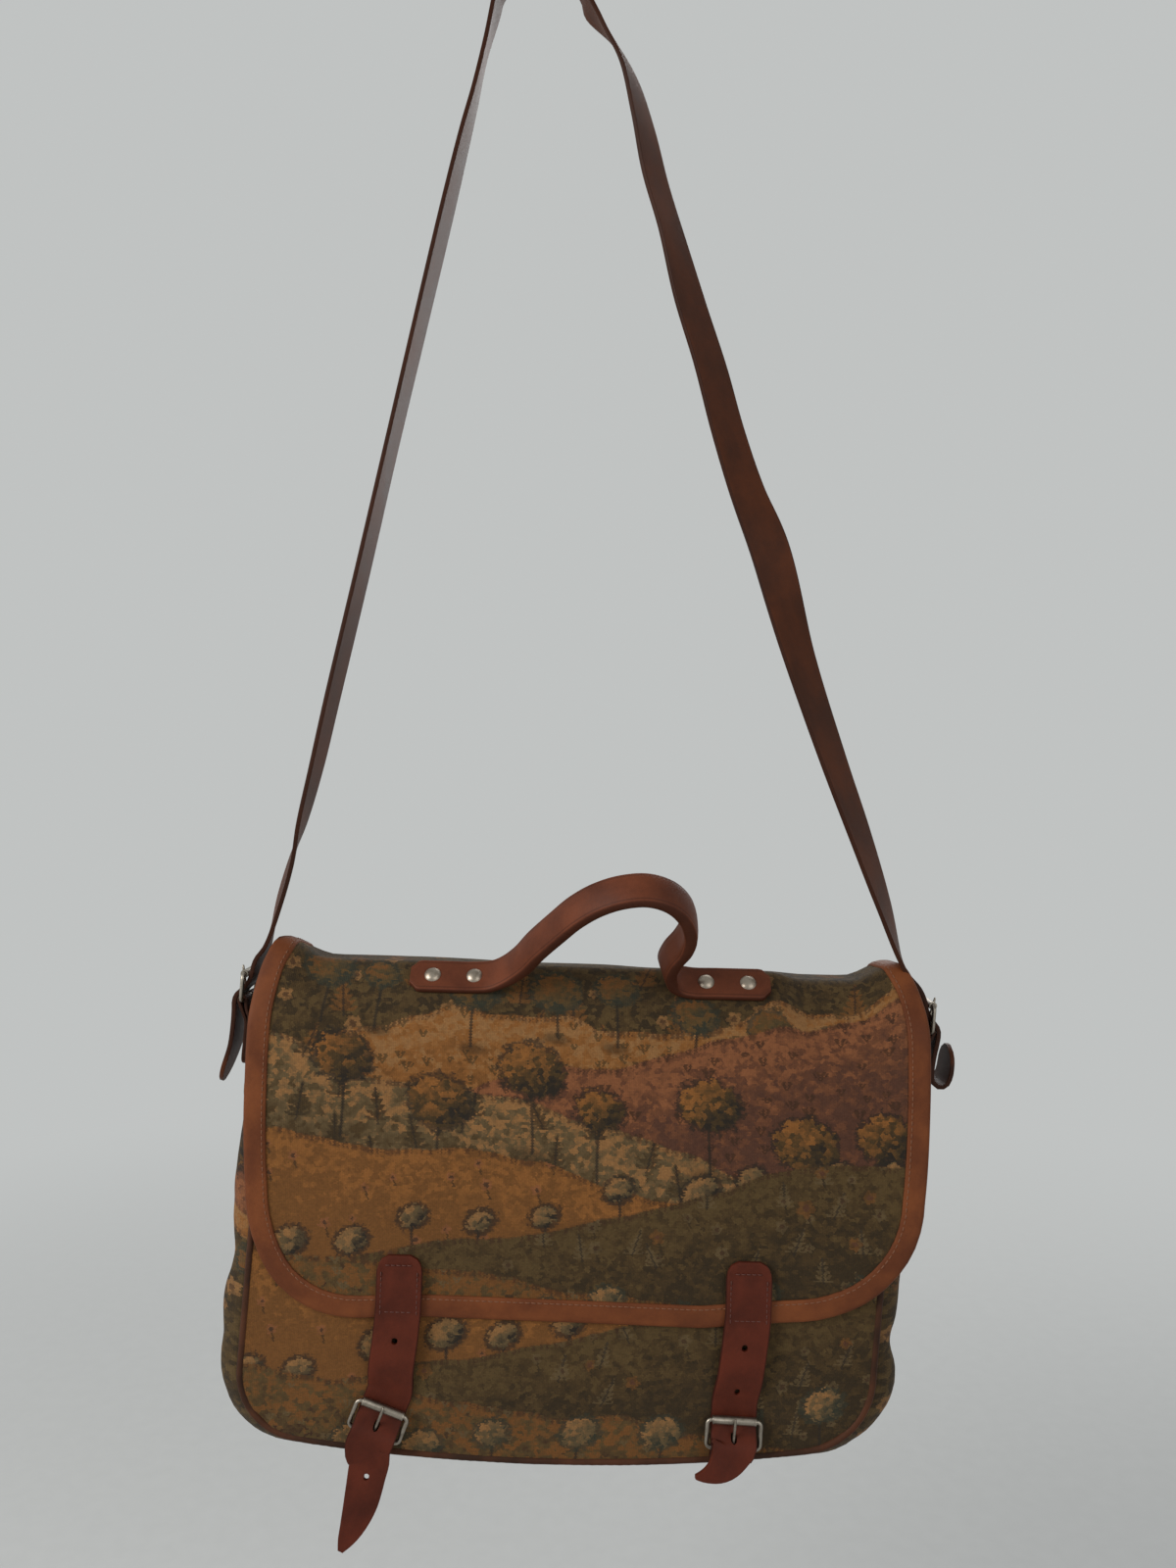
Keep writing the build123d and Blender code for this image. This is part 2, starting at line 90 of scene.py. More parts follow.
class Run:
    """A line that is read by the distance along it."""

    def __init__(self, points):
        self.points = [Vector(p) for p in points]
        self.marks = [0.0]
        for a, b in zip(self.points, self.points[1:]):
            self.marks.append(self.marks[-1] + (b - a).length)
        self.length = self.marks[-1]

    def at(self, along):
        """The point at a distance along, and the way there. It goes straight on past both ends."""
        low, high = 0, len(self.marks) - 1
        while high - low > 1:
            middle = (low + high) // 2
            if self.marks[middle] <= along:
                low = middle
            else:
                high = middle
        a, b = self.points[low], self.points[high]
        span = self.marks[high] - self.marks[low]
        return a.lerp(b, (along - self.marks[low]) / span), (b - a) / span


def flowing(stations, gap):
    """Stations of one size, passed through smoothly, about gap apart. The first three numbers are the place."""
    stations = [Vector(s) for s in stations]
    ends = [2 * stations[0] - stations[1]] + stations + [2 * stations[-1] - stations[-2]]
    line = []
    for p0, p1, p2, p3 in zip(ends, ends[1:], ends[2:], ends[3:]):
        knots = [0.0]
        for a, b in ((p0, p1), (p1, p2), (p2, p3)):
            knots.append(knots[-1] + max((Vector(b[:3]) - Vector(a[:3])).length, 1e-3) ** 0.5)
        k0, k1, k2, k3 = knots
        steps = max(1, round((Vector(p2[:3]) - Vector(p1[:3])).length / gap))
        for i in range(steps):
            t = k1 + (k2 - k1) * i / steps
            a1 = (k1 - t) / (k1 - k0) * p0 + (t - k0) / (k1 - k0) * p1
            a2 = (k2 - t) / (k2 - k1) * p1 + (t - k1) / (k2 - k1) * p2
            a3 = (k3 - t) / (k3 - k2) * p2 + (t - k2) / (k3 - k2) * p3
            b1 = (k2 - t) / (k2 - k0) * a1 + (t - k0) / (k2 - k0) * a2
            b2 = (k3 - t) / (k3 - k1) * a2 + (t - k1) / (k3 - k1) * a3
            line.append((k2 - t) / (k2 - k1) * b1 + (t - k1) / (k2 - k1) * b2)
    return line + [stations[-1]]


# ---- Meshes ----

def new_piece(name, points, faces, corners):
    """A mesh piece from points in millimetres, and the cloth or leather coordinates of its faces' corners."""
    mesh = bpy.data.meshes.new(name)
    mesh.from_pydata([p * MM for p in points], [], faces)
    layer = mesh.uv_layers.new(name="flat")
    layer.data.foreach_set("uv", [x for corner in corners for x in corner])
    shape = bmesh.new()
    shape.from_mesh(mesh)
    bmesh.ops.delete(shape, geom=[v for v in shape.verts if not v.link_faces], context="VERTS")
    bmesh.ops.recalc_face_normals(shape, faces=shape.faces)
    shape.to_mesh(mesh)
    shape.free()
    piece = bpy.data.objects.new(name, mesh)
    bpy.context.scene.collection.objects.link(piece)
    return piece


def grid_piece(name, rows, flat, around=False, caps=False, skip=()):
    """A skin of four-sided faces through rows of points. Rows that close on themselves have one more flat place."""
    count = len(rows[0])
    faces = []
    corners = []
    for i in range(len(rows) - 1):
        for j in range(count if around else count - 1):
            if (i, j) in skip:
                continue
            k = (j + 1) % count
            faces.append((i * count + j, i * count + k, (i + 1) * count + k, (i + 1) * count + j))
            corners += [flat[i][j], flat[i][j + 1], flat[i + 1][j + 1], flat[i + 1][j]]
    if caps:
        for i in (0, len(rows) - 1):
            faces.append(tuple(i * count + j for j in range(count)))
            corners += flat[i][:count]
    return new_piece(name, [p for row in rows for p in row], faces, corners)


def merged(name, pieces):
    """Several pieces as one."""
    with bpy.context.temp_override(active_object=pieces[0], selected_editable_objects=pieces):
        bpy.ops.object.join()
    pieces[0].name = name
    return pieces[0]


def dress(piece, finish, body="bag", stands_for=(), thick=0.0, rim=0.0, crease=50):
    """Gives a piece its thickness, the rounding of its cut edges and its finish, and puts it on its body."""
    if thick:
        wall = piece.modifiers.new("wall", "SOLIDIFY")
        wall.thickness = thick * MM
        wall.offset = 0
    if rim:
        edge = piece.modifiers.new("rim", "BEVEL")
        edge.width = rim * MM
        edge.segments = 2
        edge.angle_limit = math.radians(55)
    if piece.modifiers:
        graph = bpy.context.evaluated_depsgraph_get()
        mesh = bpy.data.meshes.new_from_object(piece.evaluated_get(graph))
        piece.modifiers.clear()
        piece.data = mesh
    piece.data.polygons.foreach_set("use_smooth", [True] * len(piece.data.polygons))
    piece.data.set_sharp_from_angle(angle=math.radians(crease))
    piece.data.materials.clear()
    piece.data.materials.append(finish)
    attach(piece, body)
    if stands_for:
        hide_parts(*stands_for)
    return piece


def tube(name, path, radius, closed=False, sides=12):
    """A round cord or wire. radius is a number or a function of the distance along."""
    size = radius if callable(radius) else lambda along: radius
    count = len(path)
    rows = []
    flat = []
    along = 0.0
    side = None
    for i in range(count + (1 if closed else 0)):
        here = path[i % count]
        after = path[(i + 1) % count] if closed else path[min(i + 1, count - 1)]
        before = path[i - 1] if closed else path[max(i - 1, 0)]
        way = (after - before).normalized()
        if side is None:
            side = way.orthogonal().normalized()
        side = (side - way * side.dot(way)).normalized()
        other = way.cross(side)
        if i:
            along += (here - path[i - 1]).length
        turns = [2 * math.pi * j / sides for j in range(sides)]
        rows.append([here + (side * math.cos(a) + other * math.sin(a)) * size(along) for a in turns])
        flat.append([(2 * math.pi * size(along) * j / sides, along) for j in range(sides + 1)])
    if closed:
        rows[-1] = rows[0]
    return grid_piece(name, rows, flat, around=True, caps=not closed)


def turned(name, profile, origin, axis, sides=24):
    """A lathe shape: profile is (radius, height) along an axis."""
    side = axis.orthogonal().normalized()
    other = axis.cross(side)
    rows = []
    flat = []
    run = 0.0
    for i, (radius, height) in enumerate(profile):
        if i:
            run += math.dist(profile[i - 1], (radius, height))
        turns = [2 * math.pi * j / sides for j in range(sides)]
        radius = max(radius, 0.02)
        rows.append([origin + axis * height + (side * math.cos(a) + other * math.sin(a)) * radius for a in turns])
        flat.append([(j, run) for j in range(sides + 1)])
    return grid_piece(name, rows, flat, around=True, caps=True)


def strap(name, stations, gap=2.0, holes=(), columns=(1.0, 0.9, 0.55, 0.3)):
    """The middle of a flat strap through stations of place, direction across and width.

    Each hole is its middle along the strap, its length and its width.
    """
    line = flowing([list(p) + list(a) + [w] for p, a, w in stations], gap / 4)
    run = Run([p[:3] for p in line])

    def station(along):
        point, way = run.at(along)
        low = min(max(bisect_right(run.marks, along) - 1, 0), len(line) - 2)
        t = (along - run.marks[low]) / (run.marks[low + 1] - run.marks[low])
        full = line[low].lerp(line[low + 1], min(max(t, 0.0), 1.0))
        way.normalize()
        across = Vector(full[3:6])
        across = (across - way * across.dot(way)).normalized()
        return point, across, full[6]

    widest = max(width for point, across, width in stations) / 2
    half_hole = (holes[0][2] / 2) / widest if holes else 0.12
    shares = [-c for c in columns] + [-half_hole, 0.0, half_hole] + list(columns[::-1])
    middle = len(shares) // 2
    marks = [run.length * i / round(run.length / gap) for i in range(round(run.length / gap) + 1)]
    for centre, length, width in holes:
        marks = [m for m in marks if not (abs(m - centre) < 0.6 or abs(abs(m - centre) - length / 2) < 0.6)]
        marks += [centre - length / 2, centre, centre + length / 2]
    marks.sort()
    rows = []
    flat = []
    skip = set()
    for i, mark in enumerate(marks):
        point, across, width = station(mark)
        rows.append([point + across * (share * width / 2) for share in shares])
        flat.append([(share * width / 2, mark) for share in shares])
        for centre, length, wide in holes:
            if abs(abs(mark - centre) - length / 2) < 1e-6:
                inner, across, width = station(centre + (mark - centre) * 0.74)
                for j, share in ((middle - 1, -0.72), (middle + 1, 0.72)):
                    rows[i][j] = inner + across * (share * wide / 2)
            if centre - length / 2 <= mark + 1e-6 and mark < centre + length / 2 - 1e-6:
                skip |= {(i, middle - 1), (i, middle)}
    return grid_piece(name, rows, flat, skip=skip)


def stitch_row(points, out, pitch=3.4, length=2.5, radius=0.34):
    """Stitches along a line on a surface, each a short thread that dips in at both ends."""
    run = Run(points)
    rows = []
    start = pitch / 2
    while start + length < run.length:
        path = []
        for i in range(5):
            t = i / 4
            place, way = run.at(start + length * t)
            lift = out(start + length * t)
            path.append(place + lift * (radius * 1.1 * math.sin(math.pi * t) - radius * 0.5))
        rows.append(tube("stitch", path, lambda along: radius, sides=6))
        start += pitch
    return rows


# ---- Finishes ----

def tone(red, green, blue):
    """A colour as a screen shows it, for a shader."""
    shown = [c / 255 for c in (red, green, blue)]
    return tuple(c / 12.92 if c <= 0.04045 else ((c + 0.055) / 1.055) ** 2.4 for c in shown) + (1.0,)


def darker(colour, share):
    """A plain colour, dimmed to a share of itself."""
    return tuple(c * share for c in colour[:3]) + (1.0,)


class Value:
    """A number on its way through a material. Sums on it add Math nodes."""

    def __init__(self, finish, socket):
        self.finish = finish
        self.socket = socket

    def step(self, operation, *others):
        return self.finish.node("Math", {"operation": operation}, dict(enumerate(others)))

    def __add__(self, other):
        return self.step("ADD", self, other)

    __radd__ = __add__

    def __sub__(self, other):
        return self.step("SUBTRACT", self, other)

    def __rsub__(self, other):
        return self.step("SUBTRACT", other, self)

    def __mul__(self, other):
        return self.step("MULTIPLY", self, other)

    __rmul__ = __mul__

    def __truediv__(self, other):
        return self.step("DIVIDE", self, other)

    def __lt__(self, other):
        return self.step("LESS_THAN", self, other)

    def __gt__(self, other):
        return self.step("GREATER_THAN", self, other)

    def __abs__(self):
        return self.step("ABSOLUTE", self)

    def floor(self):
        return self.step("FLOOR", self)

    def sine(self):
        return self.step("SINE", self)

    def root(self):
        return self.step("SQRT", self)

    def rising(self, low, high):
        """0 below low and 1 above high."""
        return self.finish.node("MapRange", {"interpolation_type": "SMOOTHSTEP"}, {0: self, 1: low, 2: high})


class Finish:
    """A material under construction, round one Principled shader."""

    def __init__(self, name, **constants):
        self.material = bpy.data.materials.new(name)
        self.material.use_nodes = True
        self.tree = self.material.node_tree
        self.shader = self.tree.nodes["Principled BSDF"]
        for socket, value in constants.items():
            self.shader.inputs[socket.replace("_", " ")].default_value = value

    def node(self, kind, settings=None, sockets=None, output=0):
        """Adds a node: its settings first, then the values or links of its sockets. Returns one output."""
        node = self.tree.nodes.new("ShaderNode" + kind)
        for name, value in (settings or {}).items():
            if name == "stops":
                ramp = node.color_ramp
                while len(ramp.elements) < len(value):
                    ramp.elements.new(1.0)
                for element, (place, colour) in zip(ramp.elements, value):
                    element.position = place
                    element.color = colour
            else:
                setattr(node, name, value)
        for key, value in (sockets or {}).items():
            if isinstance(value, Value):
                self.tree.links.new(value.socket, node.inputs[key])
            else:
                node.inputs[key].default_value = value
        return Value(self, node.outputs[output])

    def feed(self, socket, value):
        self.tree.links.new(value.socket, self.shader.inputs[socket])

    def flat(self):
        """Across and along the cloth or leather as it was cut, in millimetres."""
        place = self.node("UVMap", {"uv_map": "flat"})
        return self.node("SeparateXYZ", None, {0: place}, 0), self.node("SeparateXYZ", None, {0: place}, 1)

    def place(self, x, y, z=0.0):
        return self.node("CombineXYZ", None, {0: x, 1: y, 2: z})

    def clouds(self, at, detail=2.0, rough=0.5):
        """Noise from 0 to 1."""
        return self.node("TexNoise", None, {"Vector": at, "Scale": 1.0, "Detail": detail, "Roughness": rough})

    def chance(self, at):
        """One random number for each place that differs."""
        return self.node("TexWhiteNoise", {"noise_dimensions": "3D"}, {"Vector": at}, "Value")

    def ramp(self, value, *stops):
        return self.node("ValToRGB", {"stops": stops}, {0: value})

    def blend(self, share, one, other, way="MIX"):
        return self.node("Mix", {"data_type": "RGBA", "blend_type": way}, {0: share, 6: one, 7: other}, 2)

    def shade(self, colour, value):
        """A colour, or a place, times a number."""
        return self.node("VectorMath", {"operation": "SCALE"}, {0: colour, "Scale": value})

    def relief(self, height, strength, distance):
        """Bump from a height of 0 to 1 that stands for distance millimetres."""
        sockets = {"Strength": strength, "Distance": distance * MM, "Height": height}
        self.feed("Normal", self.node("Bump", None, sockets))


GOLD = tone(124, 80, 38)
OCHRE = tone(102, 66, 31)
STRAW = tone(130, 93, 55)
MOSS = tone(78, 61, 34)
OLIVE = tone(66, 50, 27)
DARK_OLIVE = tone(48, 37, 21)
UMBER = tone(56, 36, 22)
INK = tone(37, 31, 24)
SAGE = tone(88, 72, 47)
TEAL = tone(46, 46, 35)
ROSE = tone(96, 59, 38)
MAUVE = tone(76, 48, 35)
SALMON = tone(122, 76, 47)


PICK = 0.8                # one thread of the weft, in millimetres; the warp's threads are 1 apart


class Loom(Finish):
    """Tapestry cloth under construction.

    The picture is laid on from back to front, and changes only where threads cross.
    """

    def __init__(self, name, slide, rise):
        super().__init__(name, Specular_IOR_Level=0.2, Sheen_Weight=0.04, Sheen_Roughness=0.5)
        self.across, self.along = self.flat()
        self.pick = (self.along / PICK).floor()
        self.end = (self.across + self.pick * 0.5).floor() - self.pick * 0.5
        self.x = self.end + slide
        self.y = self.pick * PICK + rise
        self.fray = (self.clouds(self.place(self.x / 2.4, self.y / 8.0), 2.0) - 0.5) * 7.0
        self.brush = self.clouds(self.place(self.x / 8.0, self.y / 9.0, 3.0), 4.0, 0.7)
        self.streak = self.clouds(self.place(self.x / 1.6, self.y / 14.0, 5.0), 2.0)
        at = self.place(self.x / 3.4, self.y / 2.8)
        spots = self.node("TexVoronoi", None, {"Vector": at, "Scale": 1.0}, "Color")
        self.dab = self.node("SeparateXYZ", None, {0: spots}, 0)
        self.colour = None
        self.inside = None

    def lay(self, mask, colour):
        self.colour = self.blend(mask, self.colour, colour)

    def sky(self, dark, middle, light):
        """What shows behind everything else: dense woods."""
        far = self.brush * 0.9 + (self.dab - 0.5) * 0.5
        self.colour = self.ramp(far, (0.26, dark), (0.46, middle), (0.68, light))
        self.inside = self.brush > -1.0

    def ground(self, seed, level, slope, size, height, dark, middle, light):
        """A field whose upper edge rolls and falls, with a hedge line along it."""
        hills = (self.clouds(self.place(self.x / size + seed, seed * 1.7), 3.0, 0.5) - 0.5) * (2 * height)
        depth = hills + level + self.end * slope + self.fray * 0.3 - self.y
        share = self.brush * 0.75 + (self.dab - 0.5) * 0.32 - depth.rising(0, 60) * 0.3 + 0.24
        self.inside = depth.rising(0.0, 0.8)
        self.lay(self.inside, self.ramp(share, (0.28, dark), (0.5, middle), (0.66, light)))
        hedge = (1 - abs(depth - 1.6).rising(0.8, 2.6)) * self.streak.rising(0.44, 0.56)
        self.lay(hedge * 0.7, UMBER)

    def trees(self, seed, level, slope, gap, size, dark, middle, light):
        """A row of round-headed trees on thin stems."""
        row = self.x / gap + seed * 0.37
        cell = row.floor()
        one, two, three = (self.chance(self.place(cell, seed, k)) for k in (0.5, 1.5, 2.5))
        side = (row - cell - 0.5 - (one - 0.5) * 0.4) * gap
        foot = self.y - level - self.end * slope - (two - 0.5) * size
        wide = size * 0.6 + one * size * 0.36
        over = foot - size * 1.5 - three * size * 0.7
        lumps = self.clouds(self.place(self.x / (size * 0.2), self.y / (size * 0.18), seed), 3.0, 0.65)
        reach = (side * side + over * over * 1.45).root() + (lumps - 0.5) * size * 0.9
        bend = side + (foot / 15.0 + two * 6.0).sine() * 1.1
        stem = (1 - abs(bend).rising(0.5, 1.1)) * foot.rising(0, 1) * (over < 0)
        shade = (side * side + foot * foot * 6.0).root()
        self.lay((1 - shade.rising(size * 0.2, size * 0.7)) * 0.6, DARK_OLIVE)
        self.lay(stem * 0.8, INK)
        lit = over / wide * 0.34 - side / wide * 0.24 + 0.5 + (self.dab - 0.5) * 0.5 + (lumps - 0.5) * 0.6
        self.lay((1 - (reach - wide - 1.2).rising(-0.8, 1.2)) * 0.75, dark)
        leaves = self.ramp(lit, (0.12, dark), (0.44, middle), (0.86, light))
        self.lay(1 - (reach - wide + 1.4).rising(-0.4, 0.6), leaves)

    def cells(self, seed, gap, tall):
        """Staggered cells: the place from each one's middle, and three random numbers."""
        column = self.x / gap + seed * 0.61
        cell = column.floor()
        tier = self.y / tall + cell * 0.5 + seed * 0.37
        level = tier.floor()
        one, two, three = (self.chance(self.place(cell, level, seed + k)) for k in (0.1, 0.2, 0.3))
        side = (column - cell - 0.5 - (one - 0.5) * 0.5) * gap
        over = (tier - level - 0.5 - (two - 0.5) * 0.4) * tall
        return side, over, one, two, three

    def ferns(self, seed, gap, size, tint, share=0.6):
        """Leaning fronds with leaves in pairs."""
        side, over, one, two, three = self.cells(seed, gap, gap * 1.2)
        foot = over + size * 0.5
        bend = side - foot * (one - 0.5) * 0.9
        pairs = abs((foot * (math.pi / (size * 0.19)) - abs(bend) * 0.5).sine())
        leaf = (size - foot) * 0.4 * (0.2 + pairs * 0.8)
        shown = (three < share) * self.inside
        self.lay((abs(bend) < leaf) * (foot > 0) * shown * (0.4 + self.dab * 0.5), tint)
        self.lay((abs(bend) < 0.6) * (foot > -size * 0.12) * (foot < size * 0.9) * shown * 0.7, INK)

    def rosettes(self, seed, gap, size, petal, heart, share=0.5):
        """Five-petalled flowers on short stalks."""
        side, over, one, two, three = self.cells(seed, gap, gap * 0.9)
        size = size * (0.7 + two * 0.5)
        turn = over.step("ARCTAN2", over, side)
        reach = (side * side + over * over).root() + self.fray * 0.35
        shown = (three < share) * self.inside
        stalk = (abs(side + over * 0.3) < 0.6) * (over < 0) * (over > size * -2.2)
        petals = reach < size * (0.84 + (turn * 5.0 + one * 6.0).sine() * 0.14)
        self.lay(stalk * shown * 0.7, DARK_OLIVE)
        self.lay(petals * shown * (0.35 + self.dab * 0.5), petal)
        self.lay((reach < size * 0.34) * shown * 0.7, heart)

    def tufts(self, seed, gap, size, tint, share=0.7):
        """Fans of grass."""
        side, over, one, two, three = self.cells(seed, gap, gap * 0.7)
        foot = over + size * 0.4
        reach = (side * side + foot * foot).root()
        blades = abs((side / (foot + 0.6) * (4.0 + one * 2.0)).sine()) > 0.5
        fan = blades * (abs(side) < foot * 0.95) * (reach < size * (0.55 + two * 0.5))
        self.lay(fan * (three < share) * self.inside * 0.75, tint)

    def finish(self):
        """Worn and sun-faded patches, streaks along the warp, and the threads themselves, with painted shade in the
        gaps between them.
        """
        grain = self.chance(self.place(self.end, self.pick))
        worn = self.clouds(self.place(self.across / 60.0, self.along / 48.0, 21.0), 3.0, 0.6)
        rib = abs((self.across * math.pi).sine())
        thread = abs((self.along * (math.pi / PICK)).sine())
        thread_relief_and_gap_shade = rib * 0.45 + thread * 0.55
        fuzz = self.clouds(self.place(self.across / 0.5, self.along / 0.5, 2.0), 2.0)
        flecks = self.clouds(self.place(self.x / 3.2, self.y / 4.6, 9.0), 3.0, 0.7)
        level = 0.49 + self.streak * 0.2 + grain * 0.22 + worn * 0.34 + flecks * 0.28
        # The colour is darker where the weave's relief is low: painted shade in the gaps between the threads.
        self.feed("Base Color", self.shade(self.colour, level * (0.82 + thread_relief_and_gap_shade * 0.22)))
        self.feed("Roughness", 0.82 + fuzz * 0.14)
        self.relief(thread_relief_and_gap_shade * 0.7 + grain * 0.2 + fuzz * 0.25, 0.6, 0.4)
        return self.material


def tapestry(name, slide, rise):
    """A woven country scene. Each piece of the bag is cut from another stretch of the same cloth."""
    cloth = Loom(name, slide, rise)
    cloth.sky(DARK_OLIVE, OLIVE, MOSS)
    cloth.ferns(21.0, 31.0, 24.0, OCHRE, 0.5)
    cloth.rosettes(22.0, 19.0, 4.6, STRAW, UMBER, 0.35)
    cloth.ground(2.0, 172.0, 0.12, 130.0, 44.0, OCHRE, GOLD, STRAW)
    cloth.tufts(23.0, 12.0, 6.5, OLIVE)
    cloth.trees(3.0, 150.0, -0.1, 42.0, 16.0, TEAL, MOSS, OCHRE)
    cloth.ground(4.0, 146.0, 0.24, 170.0, 34.0, MAUVE, ROSE, SALMON)
    cloth.tufts(24.0, 14.0, 7.0, UMBER, 0.5)
    cloth.ground(5.0, 112.0, -0.3, 150.0, 36.0, OLIVE, SAGE, STRAW)
    cloth.ferns(25.0, 24.0, 20.0, DARK_OLIVE, 0.75)
    cloth.trees(6.0, 84.0, -0.12, 50.0, 21.0, INK, OLIVE, GOLD)
    cloth.ground(7.0, 84.0, -0.12, 120.0, 22.0, OCHRE, OCHRE, GOLD)
    cloth.rosettes(26.0, 17.0, 3.4, SALMON, INK, 0.35)
    cloth.trees(8.0, 44.0, 0.16, 37.0, 12.0, INK, SAGE, STRAW)
    cloth.ground(9.0, 58.0, 0.2, 140.0, 22.0, DARK_OLIVE, OLIVE, MOSS)
    cloth.ferns(27.0, 22.0, 15.0, SAGE, 0.5)
    cloth.rosettes(28.0, 17.0, 3.6, SAGE, UMBER, 0.4)
    cloth.rosettes(30.0, 29.0, 4.6, OCHRE, MAUVE, 0.4)
    cloth.ground(10.0, 18.0, -0.14, 110.0, 22.0, UMBER, MOSS, OCHRE)
    cloth.trees(11.0, -22.0, 0.1, 44.0, 15.0, TEAL, SAGE, STRAW)
    cloth.tufts(29.0, 11.0, 6.0, SAGE, 0.4)
    return cloth.finish()


def leather(name, colour, deep, polish, half=0.0, gloss=0.14, grain=1.0, groove=0.0):
    """Smooth leather with a fine grain. half is a strap's half width, whose cut edges are darker."""
    hide = Finish(name, Specular_IOR_Level=gloss)
    across, along = hide.flat()
    cloud = hide.clouds(hide.place(across / 26.0, along / 34.0, 1.0), 4.0, 0.6)
    fine = hide.clouds(hide.place(across / 1.7, along / 1.7, 4.0), 3.0, 0.6)
    at = hide.place(across / grain, along / grain)
    pores = hide.node("TexVoronoi", {"feature": "DISTANCE_TO_EDGE"}, {"Vector": at, "Scale": 1.0}, 0).rising(0.0, 0.16)
    scuffs = hide.clouds(hide.place(across / 0.8, along / 9.0, 8.0), 3.0, 0.7).rising(0.6, 0.78)
    skin = hide.blend(cloud.rising(0.3, 0.72), deep, colour)
    skin = hide.shade(skin, 0.86 + fine * 0.24 + scuffs * 0.1)
    height = pores * 0.5 + fine * 0.35 + cloud * 0.5
    if half:
        edge = abs(across).rising(half - 0.9, half - 0.15)
        rub = abs(across).rising(half - 3.2, half - 0.9) * (0.4 + fine * 0.6)
        skin = hide.blend(rub * 0.3, skin, hide.shade(skin, 1.35))
        skin = hide.blend(edge * 0.75, skin, darker(deep, 0.5))
    if groove:
        line = 1 - abs(abs(across) - groove).rising(0.15, 0.65)
        skin = hide.blend(line * 0.55, skin, darker(deep, 0.6))
        height = height - line * 1.5
    hide.feed("Base Color", skin)
    hide.feed("Roughness", polish - 0.05 + fine * 0.14 + cloud * 0.1 - scuffs * 0.06)
    hide.relief(height, 0.35, 0.18)
    return hide.material


def plated_metal(name, colour, dull):
    """Dull plate with fine scratches and darker, worn spots."""
    plate = Finish(name, Metallic=1.0)
    at = plate.node("TexCoord", None, None, "Object")
    spots = plate.clouds(plate.shade(at, 240.0), 4.0, 0.65)
    lines = plate.clouds(plate.node("Mapping", None, {"Vector": at, "Scale": (260.0, 1900.0, 1900.0)}), 2.0)
    plate.feed("Base Color", plate.blend(spots.rising(0.42, 0.72) * 0.6, colour, dull))
    plate.feed("Roughness", 0.22 + spots * 0.28 + lines * 0.08)
    plate.relief(lines * 0.4 + spots * 0.6, 0.18, 0.05)
    return plate.material


def plain_cloth(name, colour, deep):
    """Plain cotton, one thread over and one under, with painted shade between the threads."""
    cotton = Finish(name, Roughness=0.9, Sheen_Weight=0.2)
    across, along = cotton.flat()
    thread_relief_and_gap_shade = abs((across * math.pi / 0.5).sine()) * 0.5 + abs((along * math.pi / 0.5).sine()) * 0.5
    cloud = cotton.clouds(cotton.place(across / 20.0, along / 20.0), 4.0)
    # The colour is darker where the weave is low: painted shade between the threads.
    cotton.feed("Base Color", cotton.shade(cotton.blend(cloud, deep, colour), 0.8 + thread_relief_and_gap_shade * 0.25))
    cotton.relief(thread_relief_and_gap_shade, 0.4, 0.2)
    return cotton.material


def waxed_thread(name, colour):
    """Twisted thread, with painted shade in the grooves of its twist."""
    thread = Finish(name, Roughness=0.6)
    around, along = thread.flat()
    twist = abs((along * 3.2 + around * 2.2).sine())
    # The darker colour in the twist's grooves is painted shade.
    thread.feed("Base Color", thread.blend(twist, darker(colour, 0.6), colour))
    thread.relief(twist, 0.5, 0.1)
    return thread.material


TAN = leather("tan_binding_leather", tone(114, 63, 33), tone(88, 46, 25), polish=0.52)
# The piping's own dark brown, darkened further as painted shade for where it lies along the seams.
SHADE_DARKENED_PIPING = leather("piping_leather", tone(80, 46, 28), tone(46, 28, 18), polish=0.52, grain=0.8)
RED_BROWN = leather("red_brown_strap_leather", tone(88, 38, 24), tone(64, 27, 17), half=12.5, polish=0.5, gloss=0.12)
CHAPE_RED = leather("red_brown_chape_leather", tone(80, 36, 24), tone(58, 25, 17), half=12.0, polish=0.52, gloss=0.12)
DARK_BROWN = leather("dark_brown_strap_leather", tone(78, 38, 16), tone(58, 28, 12), half=12.25, polish=0.46)
CHAPE_DARK = leather("dark_brown_chape_leather", tone(76, 38, 17), tone(56, 28, 13), half=12.0, polish=0.48)
HANDLE_HIDE = leather("handle_leather", tone(104, 55, 34), tone(78, 40, 25), half=9.2, polish=0.46, groove=7.4)
NICKEL = plated_metal("buckle_plate", tone(150, 142, 130), tone(96, 87, 76))
RIVET_NICKEL = plated_metal("rivet_plate", tone(160, 149, 135), tone(112, 99, 84))
LINING = plain_cloth("lining_cotton", tone(120, 92, 62), tone(92, 68, 46))
TAN_THREAD = waxed_thread("tan_thread", tone(118, 72, 42))
DARK_THREAD = waxed_thread("dark_red_thread", tone(84, 40, 28))

# ---- The body ----

CLOTH = 2.0               # thickness of the tapestry cloth
PANEL_HALF = 175.0
PANEL_FACE = 30.0
BODY_TOP = 270.0
FRONT_TOP = 234.0
BACK_TOP = 256.0
BASE_RISE = 14.0
BASE_CORNER = 38.0


def lean(height):
    return 16.0 * (1 - height / BODY_TOP)


